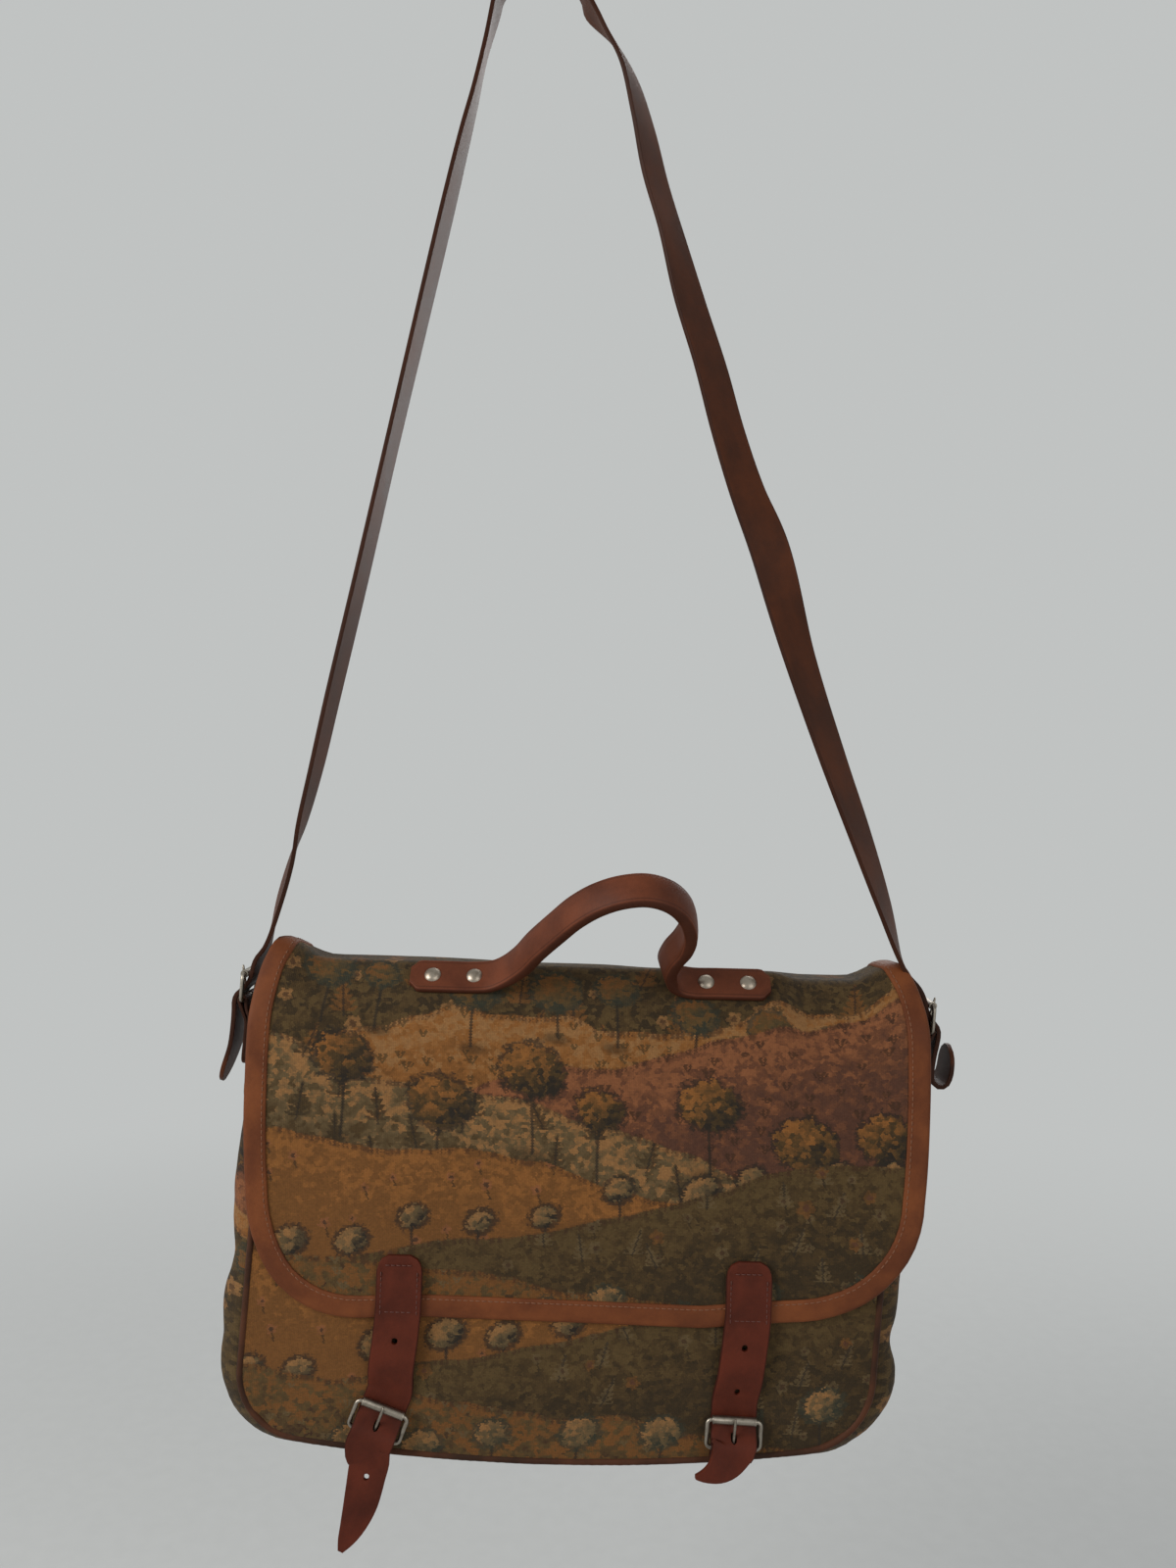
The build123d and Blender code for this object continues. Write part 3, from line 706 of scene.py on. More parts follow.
def seam(inset, top):
    """The seam round a panel, from the left of the mouth round the base to the right, without the body's lean."""
    half = PANEL_HALF - inset
    low = BASE_RISE + inset
    sag = low - inset
    radius = (half * half + sag * sag) / (2 * sag)
    steps = [half * i / 20 for i in range(-20, 21)]
    base = [(x, inset + radius - math.sqrt(radius * radius - x ** 2)) for x in steps]
    inner = [p for p in base if abs(p[0]) < half - BASE_CORNER]
    corner = BASE_CORNER - inset
    left = rounded([(-half, top), (-half, base[0][1]), inner[0]], [corner])[:-1]
    right = rounded([inner[-1], (half, base[0][1]), (half, top)], [corner])[1:]
    return [Vector(p) for p in left + inner + right]


def panel(name, inset, top, out_at, gap=5.0):
    """A panel of cloth hung in columns from its mouth down to its seam."""
    line = [p for p in seam(inset, top) if p[1] < BASE_RISE + BASE_CORNER + 1]
    run = Run(line)
    steps = round(run.length / gap)
    feet = [run.at(run.length * i / steps)[0] for i in range(steps + 1)]
    rows = []
    flat = []
    count = round(top / gap)
    for i in range(count + 1):
        heights = [foot[1] + (top - foot[1]) * i / count for foot in feet]
        rows.append([spot(foot[0] - lean(v), v, out_at(foot[0], v)) for foot, v in zip(feet, heights)])
        flat.append([(foot[0], v) for foot, v in zip(feet, heights)])
    return grid_piece(name, rows, flat)


# Creases low on the front panel: where, how high, slant and depth
CREASES = ((-160, 20, 0.9, 1.1), (-60, 10, -0.5, 0.7), (20, 14, 0.6, 0.6), (150, 24, -1.0, 1.2), (120, 60, -0.4, 0.8))


def front_out(across, up):
    """The front panel swells between its seams and is creased low down, where the straps pull."""
    swell = 2.2 * (1 - abs(across / PANEL_HALF) ** 2.5) * fade(0, 45, up) * (1 - 0.5 * fade(120, 234, up))
    crease = 0.0
    for foot, rise, slant, size in CREASES:
        away = (across - foot) * slant - (up - rise)
        reach = abs(across - foot) + abs(up - rise)
        crease += size * math.exp(-(away / 5.0) ** 2) * math.exp(-(reach / 55.0) ** 2)
    soft = 0.7 * wobble(3, 38, across, up) + 0.3 * wobble(4, 16, across, up)
    edge = fade(0, 14, PANEL_HALF - abs(across)) * fade(0, 12, up - 4)
    return PANEL_FACE - 1.0 + swell * edge + (soft - crease * 0.8) * edge * (1 - 0.7 * fade(75, 95, up))


def back_out(across, up):
    """The back panel hangs flatter, with long shallow folds."""
    swell = 1.6 * (1 - abs(across / PANEL_HALF) ** 2.5) * fade(0, 45, up) * (1 - 0.6 * fade(180, 256, up))
    soft = 0.8 * wobble(6, 52, across, up) + 0.35 * wobble(7, 20, across, up)
    edge = fade(0, 14, PANEL_HALF - abs(across)) * fade(0, 12, up - 4) * (1 - fade(215, 226, up))
    return 1.0 - PANEL_FACE - (swell + soft) * edge


def cut_cloth(piece, name, slide, rise, node, rim=0.5):
    """Gives a piece its stretch of the tapestry."""
    return dress(piece, tapestry(name, slide, rise), stands_for=[node], thick=CLOTH, rim=rim)


front_panel = panel("front_panel_cloth", 1.0, FRONT_TOP, front_out)
cut_cloth(front_panel, "front_tapestry", 310.0, -10.0, "front_panel")
back_panel = panel("back_panel_cloth", 1.0, BACK_TOP, back_out)
cut_cloth(back_panel, "back_tapestry", 1240.0, 6.0, "back_panel")


def piping(name, out, top, node):
    run = Run([Vector((p[0] - lean(p[1]), p[1])) for p in seam(0.0, top)])
    steps = round(run.length / 2.5)
    places = [run.at(run.length * i / steps)[0] for i in range(steps + 1)]
    path = [spot(p[0], p[1], out + 0.25 * wobble(9, 30, p[0], p[1])) for p in places]
    cord = tube(name, path, lambda along: 2.05 + 0.1 * wobble(10, 7, along) + 0.06 * math.sin(along * 1.3))
    return dress(cord, SHADE_DARKENED_PIPING, stands_for=[node])


piping("front_piping_cord", PANEL_FACE - 1.0, FRONT_TOP, "front_piping")
piping("back_piping_cord", 1.0 - PANEL_FACE, BACK_TOP, "back_piping")


GUSSET_HALF = 28.0        # half of its width, between the seams


def gusset_strip():
    """The gusset bulges between the two seams, and is pinched where the flap's corners press on it."""
    run = Run([Vector((p[0] - lean(p[1]), p[1])) for p in seam(0.0, BACK_TOP)])
    count = round(run.length / 4.0)
    half = GUSSET_HALF
    shares = [-1 + 2 * j / 26 for j in range(27)]
    rows = []
    flat = []
    for i in range(count + 1):
        row = []
        flat_row = []
        for share in shares:
            out = share * half
            start = max(0.0, out - 4.0) * (26.0 / half)
            along = start + (run.length - 2 * start) * i / count
            point, way = run.at(along)
            side = abs(way[1])
            bulge = 7.0 + 8.5 * side
            right = point[0] > 0
            pinch = (6.5 if right else 5.0) * math.exp(-((point[1] - (67.0 if right else 105.0)) / 11.0) ** 2)
            below = 1.6 * math.exp(-((point[1] - (45.0 if right else 78.0)) / 16.0) ** 2)
            middle = math.exp(-(out / 12.0) ** 2)
            folds = 1.3 * wobble(12, 24, along, out * 0.6) + 0.6 * wobble(13, 11, along, out)
            sink = (pinch * (0.45 + 0.55 * middle) - below) * side + 1.2 * middle * side
            rise = (bulge - 0.6 - sink + folds * side) * (1 - abs(share) ** 4.5)
            row.append(spot(point[0] + way[1] * rise, point[1] - way[0] * rise, out))
            flat_row.append((out, along))
        rows.append(row)
        flat.append(flat_row)
    return grid_piece("gusset_cloth", rows, flat)


gusset = cut_cloth(gusset_strip(), "gusset_tapestry", 2205.0, 30.0, "gusset")


def lining_bag():
    """The lining hangs as one soft bag inside the panels."""
    rows = []
    flat = []
    around = 96
    for i in range(37):
        depth = i / 36
        row = []
        for j in range(around):
            turn = 2 * math.pi * j / around
            x = math.copysign(abs(math.cos(turn)) ** 0.35, math.cos(turn))
            w = math.copysign(abs(math.sin(turn)) ** 0.45, math.sin(turn))
            close = math.sqrt(max(0.0, 1 - fade(0.86, 1.0, depth) ** 2 * 0.96))
            half = 168.0 - 28.0 * fade(0.82, 1.0, depth) ** 2
            foot = 8.0 + 12.0 * (x * half / PANEL_HALF) ** 2
            up = FRONT_TOP - (FRONT_TOP - foot) * depth
            folds = 1.5 * wobble(15, 26, x * half, up) * fade(0.0, 0.2, depth)
            row.append(spot(x * half - lean(up), up, w * (24.0 * close - 1.0 + folds * close)))
        rows.append(row)
        flat.append([(j * 4.2, i * 6.5) for j in range(around + 1)])
    return grid_piece("lining_cotton_bag", rows, flat, around=True)


lining = dress(lining_bag(), LINING, stands_for=["lining"], thick=0.8)

# ---- The flap ----

# The flap's middle line seen from the side, as (out, up), from its lower edge to its root
FLAP_RUN = Run(rounded([(33.5, 85.0), (33.5, 244.5), (7.0, 273.0), (-31.0, 273.0), (-31.0, 226.0)], [22.0, 10.0, 16.0]))
FLAP_CORNER = 65.0        # radius of its lower corners
# Half widths at places along it
FLAP_WIDTHS = flowing([(s, w, 0) for s, w in ((0, 180), (40, 184.5), (80, 188), (120, 188.6), (160, 187.2), (184, 184.5),
                                              (204, 179), (240, 177.4), (290, 177))], 3.0)
# How much lower the cut edge hangs, at places across it
FLAP_HANG = [(-190, 8.0), (-150, 8.0), (-90, 4.8), (0, 6.0), (66, 7.2), (100, 3.8), (140, 1.0), (190, 0.5)]
CROWN = 196.0             # along the flap, from its lower edge


def between(table, x):
    """Reads a table of (x, value) pairs."""
    for a, b in zip(table, table[1:]):
        if x <= b[0]:
            return a[1] + (b[1] - a[1]) * (max(x, a[0]) - a[0]) / (b[0] - a[0])
    return table[-1][1]


def flap_half(along):
    return between(FLAP_WIDTHS, along)


def slump(across, up, out):
    """How far the top of the flap has sunk: behind the handle, and most of all between it and the right ear."""
    ends = 1 - fade(150, 174, abs(across))
    behind = (3.5 + 3.0 * fade(-120, 60, across)) * (1 - fade(0, 13, out)) * fade(236, 262, up)
    right = 7.5 * fade(103, 124, across) * fade(214, 252, up) * (1 - 0.8 * (1 - fade(0, 13, out)) * fade(236, 262, up))
    return (behind + right) * ends


def flap_lift(across, along):
    """How far the flap's middle stands off the line it would follow if it were board."""
    ear = (8.5 if across < 0 else 1.5) * fade(150, 174, abs(across)) * math.exp(-((along - CROWN) / 24.0) ** 2)
    swell = 1.4 * (1 - abs(across / 190) ** 2) * fade(0, 50, along) * (1 - fade(120, 165, along))
    free = fade(4, 30, along) * (1 - fade(170, 186, along) * (1 - fade(205, 225, along))) * (1 - fade(235, 262, along))
    soft = 1.0 * wobble(17, 58, across, along) + 0.45 * wobble(18, 24, across, along)
    hollow = -1.2 * math.exp(-((abs(across) - 128) / 18.0) ** 2 - ((along - 168) / 22.0) ** 2)
    return ear + swell + (soft + hollow) * free


def flap_at(across, along, rise=0.0):
    (out, up), (way_out, way_up) = FLAP_RUN.at(along)
    rise += flap_lift(across, along)
    return spot(across, up - slump(across, up, out) - way_out * rise, out + way_up * rise)


def flap_out(along):
    (out, up), (way_out, way_up) = FLAP_RUN.at(along)
    return OUT * way_up - UP * way_out


def flap_feet():
    """The flap's lower edge in the flat, from left to right: (across, along)."""
    middle = flap_half(FLAP_CORNER) - FLAP_CORNER
    turns = [math.radians(90 - 7.5 * i) for i in range(13)]
    left = [(-middle - FLAP_CORNER * math.sin(a), FLAP_CORNER * (1 - math.cos(a))) for a in turns]
    straight = [(-middle + 2 * middle * i / 50, 0.0) for i in range(1, 50)]
    board = left + straight + [(-x, s) for x, s in left[::-1]]
    return [(x, s - between(FLAP_HANG, x) * (1 - fade(15, 64, s))) for x, s in board]


def flap_sheet():
    feet = flap_feet()
    rows = []
    flat = []
    corner_half = flap_half(FLAP_CORNER)
    for i in range(111):
        row = []
        flat_row = []
        for across, foot in feet:
            along = foot + (FLAP_RUN.length - foot) * i / 110
            x = across * flap_half(max(along, FLAP_CORNER)) / corner_half * 0.995
            along = max(along, foot + 1.0)
            row.append(flap_at(x, along))
            flat_row.append((x, along))
        rows.append(row)
        flat.append(flat_row)
    return grid_piece("flap_cloth", rows, flat)


flap = cut_cloth(flap_sheet(), "flap_tapestry", 0.0, 8.0, "flap", rim=0.0)


def flap_edge():
    """The flap's edge in the flat, from the root on the left round the lower edge to the root on the right."""
    places = [FLAP_RUN.length + (FLAP_CORNER - FLAP_RUN.length) * i / 60 for i in range(60)]
    side = [(-flap_half(s), s) for s in places]
    return Run([(x, s) for x, s in side + flap_feet() + [(-x, s) for x, s in side[::-1]]])


FLAP_EDGE = flap_edge()


def edge_place(along_edge, inward, rise):
    (x, s), (way_x, way_s) = FLAP_EDGE.at(along_edge)
    return flap_at(x - way_s * inward, s + way_x * inward, rise)


def binding_strip():
    """Leather folded round the flap's edge. Its section is (inward from the edge, out from the cloth)."""
    section = [(12.4, 0.9), (12.5, 1.5), (12.0, 1.95), (9.5, 2.05), (6.0, 2.1), (2.5, 2.05), (0.9, 1.75), (0.1, 1.0),
               (-0.1, 0.0), (0.1, -1.0), (0.9, -1.75), (2.5, -1.95), (8.0, -1.95), (12.0, -1.8), (12.5, -1.4),
               (12.4, -0.9)]
    run = Run([Vector(p) for p in section])
    count = round(FLAP_EDGE.length / 3.0)
    rows = []
    flat = []
    for i in range(count + 1):
        along = FLAP_EDGE.length * i / count
        (x, s), way = FLAP_EDGE.at(along)
        corner = (1 - fade(50, 75, s)) * fade(100, 130, abs(x))
        row = []
        for inward, rise in section:
            pucker = 0.22 * corner * math.sin(along * 1.15 + 1.5 * math.sin(along * 0.31)) * fade(3, 10, inward)
            waver = 0.18 * wobble(20, 14, along, inward) + (0.35 * wobble(21, 40, along) if inward > 9 else 0)
            puff = math.copysign(pucker + waver, rise) if abs(rise) > 1.2 else 0
            row.append(edge_place(along, inward, rise + puff))
        rows.append(row)
        flat.append([(mark, along) for mark in run.marks] + [(run.length + 1, along)])
    return grid_piece("flap_edge_binding", rows, flat, around=True, caps=True)


binding = dress(binding_strip(), TAN, stands_for=["flap_binding"], crease=60)


def edge_stitches(inward, rise, first, last):
    count = round((last - first) / 4.0)
    marks = [first + (last - first) * i / count for i in range(count + 1)]
    points = [edge_place(mark, inward, rise) for mark in marks]

    def out(along):
        (x, s), way = FLAP_EDGE.at(first + along)
        return flap_out(s)

    return stitch_row(points, out)


binding_stitches = merged("flap_binding_stitches", edge_stitches(10.4, 2.0, 4.0, FLAP_EDGE.length - 4.0))
dress(binding_stitches, TAN_THREAD, crease=180)

# Two rows of stitches hold the flap's root to the back panel
root_rows = []
for along in (FLAP_RUN.length - 3.5, FLAP_RUN.length - 9.5):
    root_rows += stitch_row([flap_at(x, along, 1.0) for x in range(-164, 165, 4)], lambda s: -OUT)
dress(merged("flap_root_stitches", root_rows), TAN_THREAD, crease=180)

# ---- The handle ----

SLOPE = Vector((26.5, -28.5)).normalized()
SLOPE_MIDDLE = Vector((7.0, 273.0)) + SLOPE * 14.4
HANDLE_OUT = OUT * -SLOPE[1] + UP * SLOPE[0]
HANDLE_BACK = HANDLE_OUT.cross(ACROSS)
HANDLE_FOOT = spot(0, SLOPE_MIDDLE[1], SLOPE_MIDDLE[0]) + HANDLE_OUT


def handle_place(across, rise, back=0.0):
    return HANDLE_FOOT + ACROSS * across + HANDLE_OUT * rise + HANDLE_BACK * back


# The middle of the handle's strap, as (across, rise), from plate to plate
HANDLE_PATH = ((-101, 2.1), (-82, 2.1), (-66, 2.1), (-56, 3.6), (-47.5, 9.5), (-38.6, 20), (-30.4, 34.5), (-19.5, 51),
               (-8.5, 66.5), (3, 77.5), (15, 84), (27.7, 86), (39.6, 81), (48.4, 69.5), (52, 55), (49.6, 41),
               (44.6, 29), (42.6, 16.5), (46.5, 6.5), (56, 2.3), (72, 2.1), (86, 2.1), (101, 2.1))
# Half of its section, as (share of the half width, height), where it is flat and where it is held
FLAT_FACE = [(0.99, -1.1), (1.0, 0.0), (0.985, 1.3), (0.93, 1.9), (0.8, 1.98), (0.7, 2.0), (0.35, 2.02), (0.0, 2.02)]
FULL_FACE = [(1.0, -2.8), (1.03, -0.6), (1.01, 1.7), (0.93, 2.9), (0.82, 3.1), (0.7, 3.4), (0.38, 3.8), (0.0, 3.9)]


def handle_strap():
    """One strap from plate to plate: flat where it is riveted, padded and round-backed where it is held."""
    run = Run([p[:2] for p in flowing([(x, y, 0) for x, y in HANDLE_PATH], 1.0)])
    count = round(run.length / 2.0)
    rows = []
    flat = []
    for i in range(count + 1):
        along = run.length * i / count
        (across, rise), (way_across, way_rise) = run.at(along)
        from_end = min(along, run.length - along)
        held = fade(42, 72, along) * fade(46, 66, run.length - along)
        left_leg = fade(44, 80, along) * (1 - fade(120, 190, along))
        fold = fade(48, 64, run.length - along) * (1 - fade(85, 115, run.length - along))
        twist = math.radians(13) * left_leg - math.radians(14) * fold
        normal = ACROSS * -way_rise + HANDLE_OUT * way_across
        side = HANDLE_BACK * math.cos(twist) + normal * math.sin(twist)
        face = normal * math.cos(twist) - HANDLE_BACK * math.sin(twist)
        half = 10.0 - 1.1 * held - 4.6 * (1 - fade(0, 5, from_end))
        right = [(x + (fx - x) * held, y + (fy - y) * held) for (x, y), (fx, fy) in zip(FLAT_FACE, FULL_FACE)]
        under = [(0.92, -2.0 - 1.7 * held), (0.45, -2.05 - 1.8 * held), (0.0, -2.05 - 1.8 * held)]
        section = right + [(-x, y) for x, y in right[-2::-1] + under] + under[-2::-1]
        centre = handle_place(across, rise)
        rows.append([centre + side * (x * half) + face * y for x, y in section])
        flat.append([(x * 9.2, along) for x, y in section] + [(section[0][0] * 9.2, along)])
    return grid_piece("handle_grip_strap", rows, flat, around=True, caps=True)


dress(handle_strap(), HANDLE_HIDE, stands_for=["handle"], crease=60)


def rivet(name, foot, axis, radius, depth, rise=2.0):
    """A domed rivet with a flat washer behind."""
    dome = [(0.0, 1.0), (0.35, 0.96), (0.68, 0.72), (0.9, 0.36)]
    head = [(radius * r, rise * h) for r, h in dome] + [(radius, 0.12), (radius, 0.0)]
    shank = [(1.5, -0.02), (1.5, -depth)]
    washer = [(radius * 0.95, -depth - 0.02), (radius, -depth - 0.3), (radius * 0.9, -depth - 0.7), (0.0, -depth - 0.8)]
    return turned(name, head + shank + washer, foot, axis)


handle_rivets = [rivet("rivet", handle_place(x, 4.0), HANDLE_OUT, 4.6, 6.0) for x in (-88.5, -65.0, 65.0, 88.5)]
handle_rivets = merged("handle_domed_rivets", handle_rivets)
dress(handle_rivets, RIVET_NICKEL, stands_for=["handle_rivets"], crease=35)

# ---- Buckles ----

class Buckle:
    """A buckle's place: its origin is the middle of the heel bar, side lies along it, way leads to the roller."""

    def __init__(self, name, origin, side, out):
        self.name = name
        self.origin = origin
        self.side = side
        self.out = out
        self.way = out.cross(side)

    def at(self, along, out, side=0.0):
        return self.origin + self.way * along + self.out * out + self.side * side


HEEL_STAND = 5.5          # the heel bar's middle stands this far off the cloth
RING_HALF = 29.4 / 2      # half of the ring, between the middles of its side wires
REACH = 15.0              # from the heel bar to the roller's bar
WIRE = 1.2                # radius of the ring's wire
EYE_RADIUS = 1.98         # of the tongue's eye round the heel bar
WRAP_RADIUS = 2.1         # of the leather round the heel bar
TONGUE_LIFT = math.radians(13.9)
SIDE_UP = (UP * BODY_TOP + ACROSS * 16.0).normalized()


def front_buckle(name, across, height, turn):
    angle = math.radians(turn)
    side = ACROSS * math.cos(angle) - UP * math.sin(angle)
    return Buckle(name, spot(across, height, PANEL_FACE + HEEL_STAND), side, OUT)


def side_buckle(name, sign, height):
    origin = spot(sign * (PANEL_HALF + 15.5 + HEEL_STAND) - lean(height), height, 0)
    side = -OUT if sign > 0 else OUT
    return Buckle(name, origin, side, side.cross(SIDE_UP))


BUCKLES = {
    "front_left": front_buckle("front_left", -112.7, 15.6, 20.0),
    "front_right": front_buckle("front_right", 84.6, 13.2, 2.0),
    "side_left": side_buckle("side_left", -1, 247.0),
    "side_right": side_buckle("side_right", 1, 239.0),
}


def buckle_metal(buckle):
    """The frame, bent from round wire, the roller on its far bar and the prong on its heel bar."""
    corners = [(0, 0), (0, RING_HALF), (REACH, RING_HALF), (REACH, -RING_HALF), (0, -RING_HALF), (0, 0)]
    ring = rounded(corners, [2.5] * 4, step=0.26)[:-1]
    bars = []
    for a, b in zip(ring, ring[1:] + ring[:1]):
        bars += [a.lerp(b, i / 4) for i in range(4)] if (b - a).length > 4 else [a]
    bars = [buckle.at(p[0], 0, p[1]) for p in bars]
    frame_wire = tube("buckle_ring_" + buckle.name, bars, WIRE, closed=True, sides=14)
    dress(frame_wire, NICKEL, "buckle_" + buckle.name, ["buckle_frame_" + buckle.name])
    end = [(2.22, 10.9), (2.3, 11.2), (2.32, 11.7), (2.15, 12.0), (1.34, 12.0)]
    rim = [(radius, -along) for radius, along in end[::-1]] + end + [(1.32, 0.0)]
    axis = buckle.side
    side = axis.orthogonal().normalized()
    other = axis.cross(side)
    rows = []
    flat = []
    for i in range(33):
        turn = 2 * math.pi * i / 32
        seam_dip = 0.12 if i in (0, 32) else 0.0
        spoke = side * math.cos(turn) + other * math.sin(turn)
        rows.append([buckle.at(REACH, 0) + axis * along + spoke * (radius - (seam_dip if radius > 2 else 0))
                     for radius, along in rim])
        flat.append([(along, i) for radius, along in rim] + [(0, i)])
    roller = grid_piece("buckle_tube_" + buckle.name, rows[:-1] + [rows[0]], flat, around=True)
    weld(roller)
    dress(roller, NICKEL, "roller_" + buckle.name, ["buckle_roller_" + buckle.name], crease=40)
    path = [(-EYE_RADIUS * math.sin(math.radians(a)), EYE_RADIUS * math.cos(math.radians(a))) for a in range(-280, 1, 20)]
    for s in (3, 6, 9, 12, 15, 17, 18.0, 18.6):
        rise = s * math.sin(TONGUE_LIFT) + EYE_RADIUS * (1 - fade(0, 6, s)) + 0.5 * math.sin(math.pi * s / 18)
        path.append((s * math.cos(TONGUE_LIFT), rise))
    path = [buckle.at(along, out) for along, out in path]
    total = Run(path).length

    def slimmer(along):
        return 0.88 - 0.3 * fade(total - 5, total, along) - 0.25 * fade(total - 0.6, total, along)

    prong = tube("buckle_tongue_" + buckle.name, path, slimmer)
    dress(prong, NICKEL, "prong_" + buckle.name, ["buckle_prong_" + buckle.name], crease=60)


def weld(piece):
    """Joins the points that lie on each other."""
    shape = bmesh.new()
    shape.from_mesh(piece.data)
    bmesh.ops.remove_doubles(shape, verts=shape.verts, dist=0.01 * MM)
    bmesh.ops.recalc_face_normals(shape, faces=shape.faces)
    shape.to_mesh(piece.data)
    shape.free()


for place in BUCKLES.values():
    buckle_metal(place)


def wrap_stations(buckle, down, up, width=24.0):
    """Leather round the heel bar: down and up are the ends of its two layers, as (along, out)."""
    turns = [math.radians(a) for a in range(110, -111, -20)]
    arc = [(WRAP_RADIUS * math.cos(a), WRAP_RADIUS * math.sin(a)) for a in turns]
    return [(buckle.at(p[0], p[1]), buckle.side, p[2] if len(p) == 3 else width) for p in down + arc + up]


def chape_front(buckle):
    down = [(-11.6, -8.2), (-8.4, -4.6), (-4.0, 0.2)]
    up = [(-4.6, -3.6), (-8.8, -8.0), (-10.8, -10.2)]
    stations = wrap_stations(buckle, down, up)
    length = Run([p for p, a, w in stations]).length
    piece = strap("front_chape_" + buckle.name, stations, gap=1.0, holes=[(length * 0.5, 8.6, 4.6)])
    return dress(piece, CHAPE_RED, stands_for=["chape_" + buckle.name], thick=1.6, rim=0.35)


CHAPE_FACE = -2.3         # the outer face of a side chape, out from the heel bar's middle


def chape_side(buckle):
    outer = [(-36.6, -3.1, 15.0), (-35.6, -3.1, 20.0), (-33.5, -3.1, 24.0), (-22.0, -3.1), (-12.0, -2.9), (-6.5, -0.6)]
    inner = [(-5.6, -2.9), (-9.0, -4.4), (-14.0, -4.7), (-24.0, -4.7),
             (-33.5, -4.7, 24.0), (-35.6, -4.7, 20.0), (-36.6, -4.7, 15.0)]
    stations = wrap_stations(buckle, outer, inner)
    length = Run([p for p, a, w in stations]).length
    piece = strap("side_chape_" + buckle.name, stations, gap=1.0, holes=[(length * 0.5, 8.6, 4.6)])
    dress(piece, CHAPE_DARK, stands_for=["chape_" + buckle.name], thick=1.55, rim=0.35)
    rows = []
    for side in (-9.6, 9.6):
        line = [buckle.at(a, CHAPE_FACE, side) for a in range(-32, -9, 2)]
        rows += stitch_row(line, lambda s: buckle.out, pitch=3.2, length=2.3, radius=0.3)
    return rows


for name in ("front_left", "front_right"):
    chape_front(BUCKLES[name])
chape_threads = []
side_rivets = []
for name in ("side_left", "side_right"):
    chape_threads += chape_side(BUCKLES[name])
    for along in (-14.0, -29.0):
        side_rivets.append(rivet("rivet", BUCKLES[name].at(along, CHAPE_FACE), BUCKLES[name].out, 3.6, 5.2, 1.9))
dress(merged("side_chape_stitches", chape_threads), DARK_THREAD, crease=180)
side_rivets = merged("side_domed_rivets", side_rivets)
dress(side_rivets, RIVET_NICKEL, stands_for=["side_rivets"], crease=35)

# ---- Straps ----

UNDER, OVER = -3.9, 4.6   # a strap's middle under the roller and over the heel bar


OVER_HEEL = [(0.0, OVER), (-6.0, OVER - 0.3)]


def middle_line(stations):
    """The middle of a strap, to find places along it."""
    return Run([s[:3] for s in flowing([list(p) + list(a) + [w] for p, a, w in stations], 0.5)])


def through_buckle(buckle, width, above, below=OVER_HEEL):
    """A strap's stations from above a buckle, under its roller and over its heel bar."""
    path = above + [(REACH, UNDER), (11.5, -3.1), (8.5, -1.3), (5.6, 1.2), (3.2, 3.4)] + below
    return [(buckle.at(along, out), buckle.side, width) for along, out in path]


def nearest_mark(line, place, first=0, last=None):
    """The whole millimetre along a line that is nearest to a place."""
    return min(range(first, last or int(line.length)), key=lambda s: (line.at(s)[0] - place).length)


PRONG_HOLE = (5.6, 1.2)   # where a strap is pierced, as (along, out) from the heel bar


def front_stations(rows):
    stations = []
    for across, up, out, turn, width in rows:
        angle = math.radians(turn)
        stations.append((spot(across, up, out), ACROSS * math.cos(angle) - UP * math.sin(angle), width))
    return stations


ON_FLAP = 36.7


def strap_top(across, top):
    """The rounded upper end of a front strap, sewn flat to the flap."""
    end = ((0, 12), (1.2, 17.5), (3.4, 21.5), (6.5, 24), (10, 25))
    return [(across, top - drop, ON_FLAP, 0, width) for drop, width in end]


# Across, up, out, turn from upright in degrees and width
LEFT_TOP = strap_top(-100.3, 114.6) + [
    (-100.3, 99, ON_FLAP + 0.4, 0, 25), (-100.4, 86, ON_FLAP + 0.4, 1, 25), (-101.5, 72, ON_FLAP + 0.1, 6, 25),
    (-104.0, 50, ON_FLAP - 2.2, 11, 25)]
LEFT_TAIL = [
    (-113.6, 3, 40.0, 19, 22.0), (-114.7, -4, 39.7, 17, 20.8), (-117.8, -20, 38.8, 17, 18.6),
    (-122.0, -33, 38.2, 18, 13.8), (-126.0, -42, 37.8, 19, 8.2), (-128.4, -47.2, 37.7, 19, 3.0)]
RIGHT_TOP = strap_top(91, 115.8) + [
    (91, 100, ON_FLAP + 0.4, 0, 25), (90.9, 86, ON_FLAP + 0.4, 0, 25), (89.8, 72, ON_FLAP + 0.1, 3, 25),
    (87.6, 50, ON_FLAP - 2.2, 3, 25)]
RIGHT_TAIL = [
    (83.4, 13.2, 40.1, 14, 22), (81.2, 9.8, 40.8, 24, 20), (78.4, 7.0, 41.8, 36, 17.4), (75.0, 4.9, 43.0, 50, 13.6),
    (71.2, 3.6, 44.2, 65, 9.4), (67.2, 3.0, 45.2, 78, 5.6), (63.4, 3.0, 46.0, 86, 2)]
FLAT_ABOVE = [(24.0, -3.7), (18.5, UNDER)]


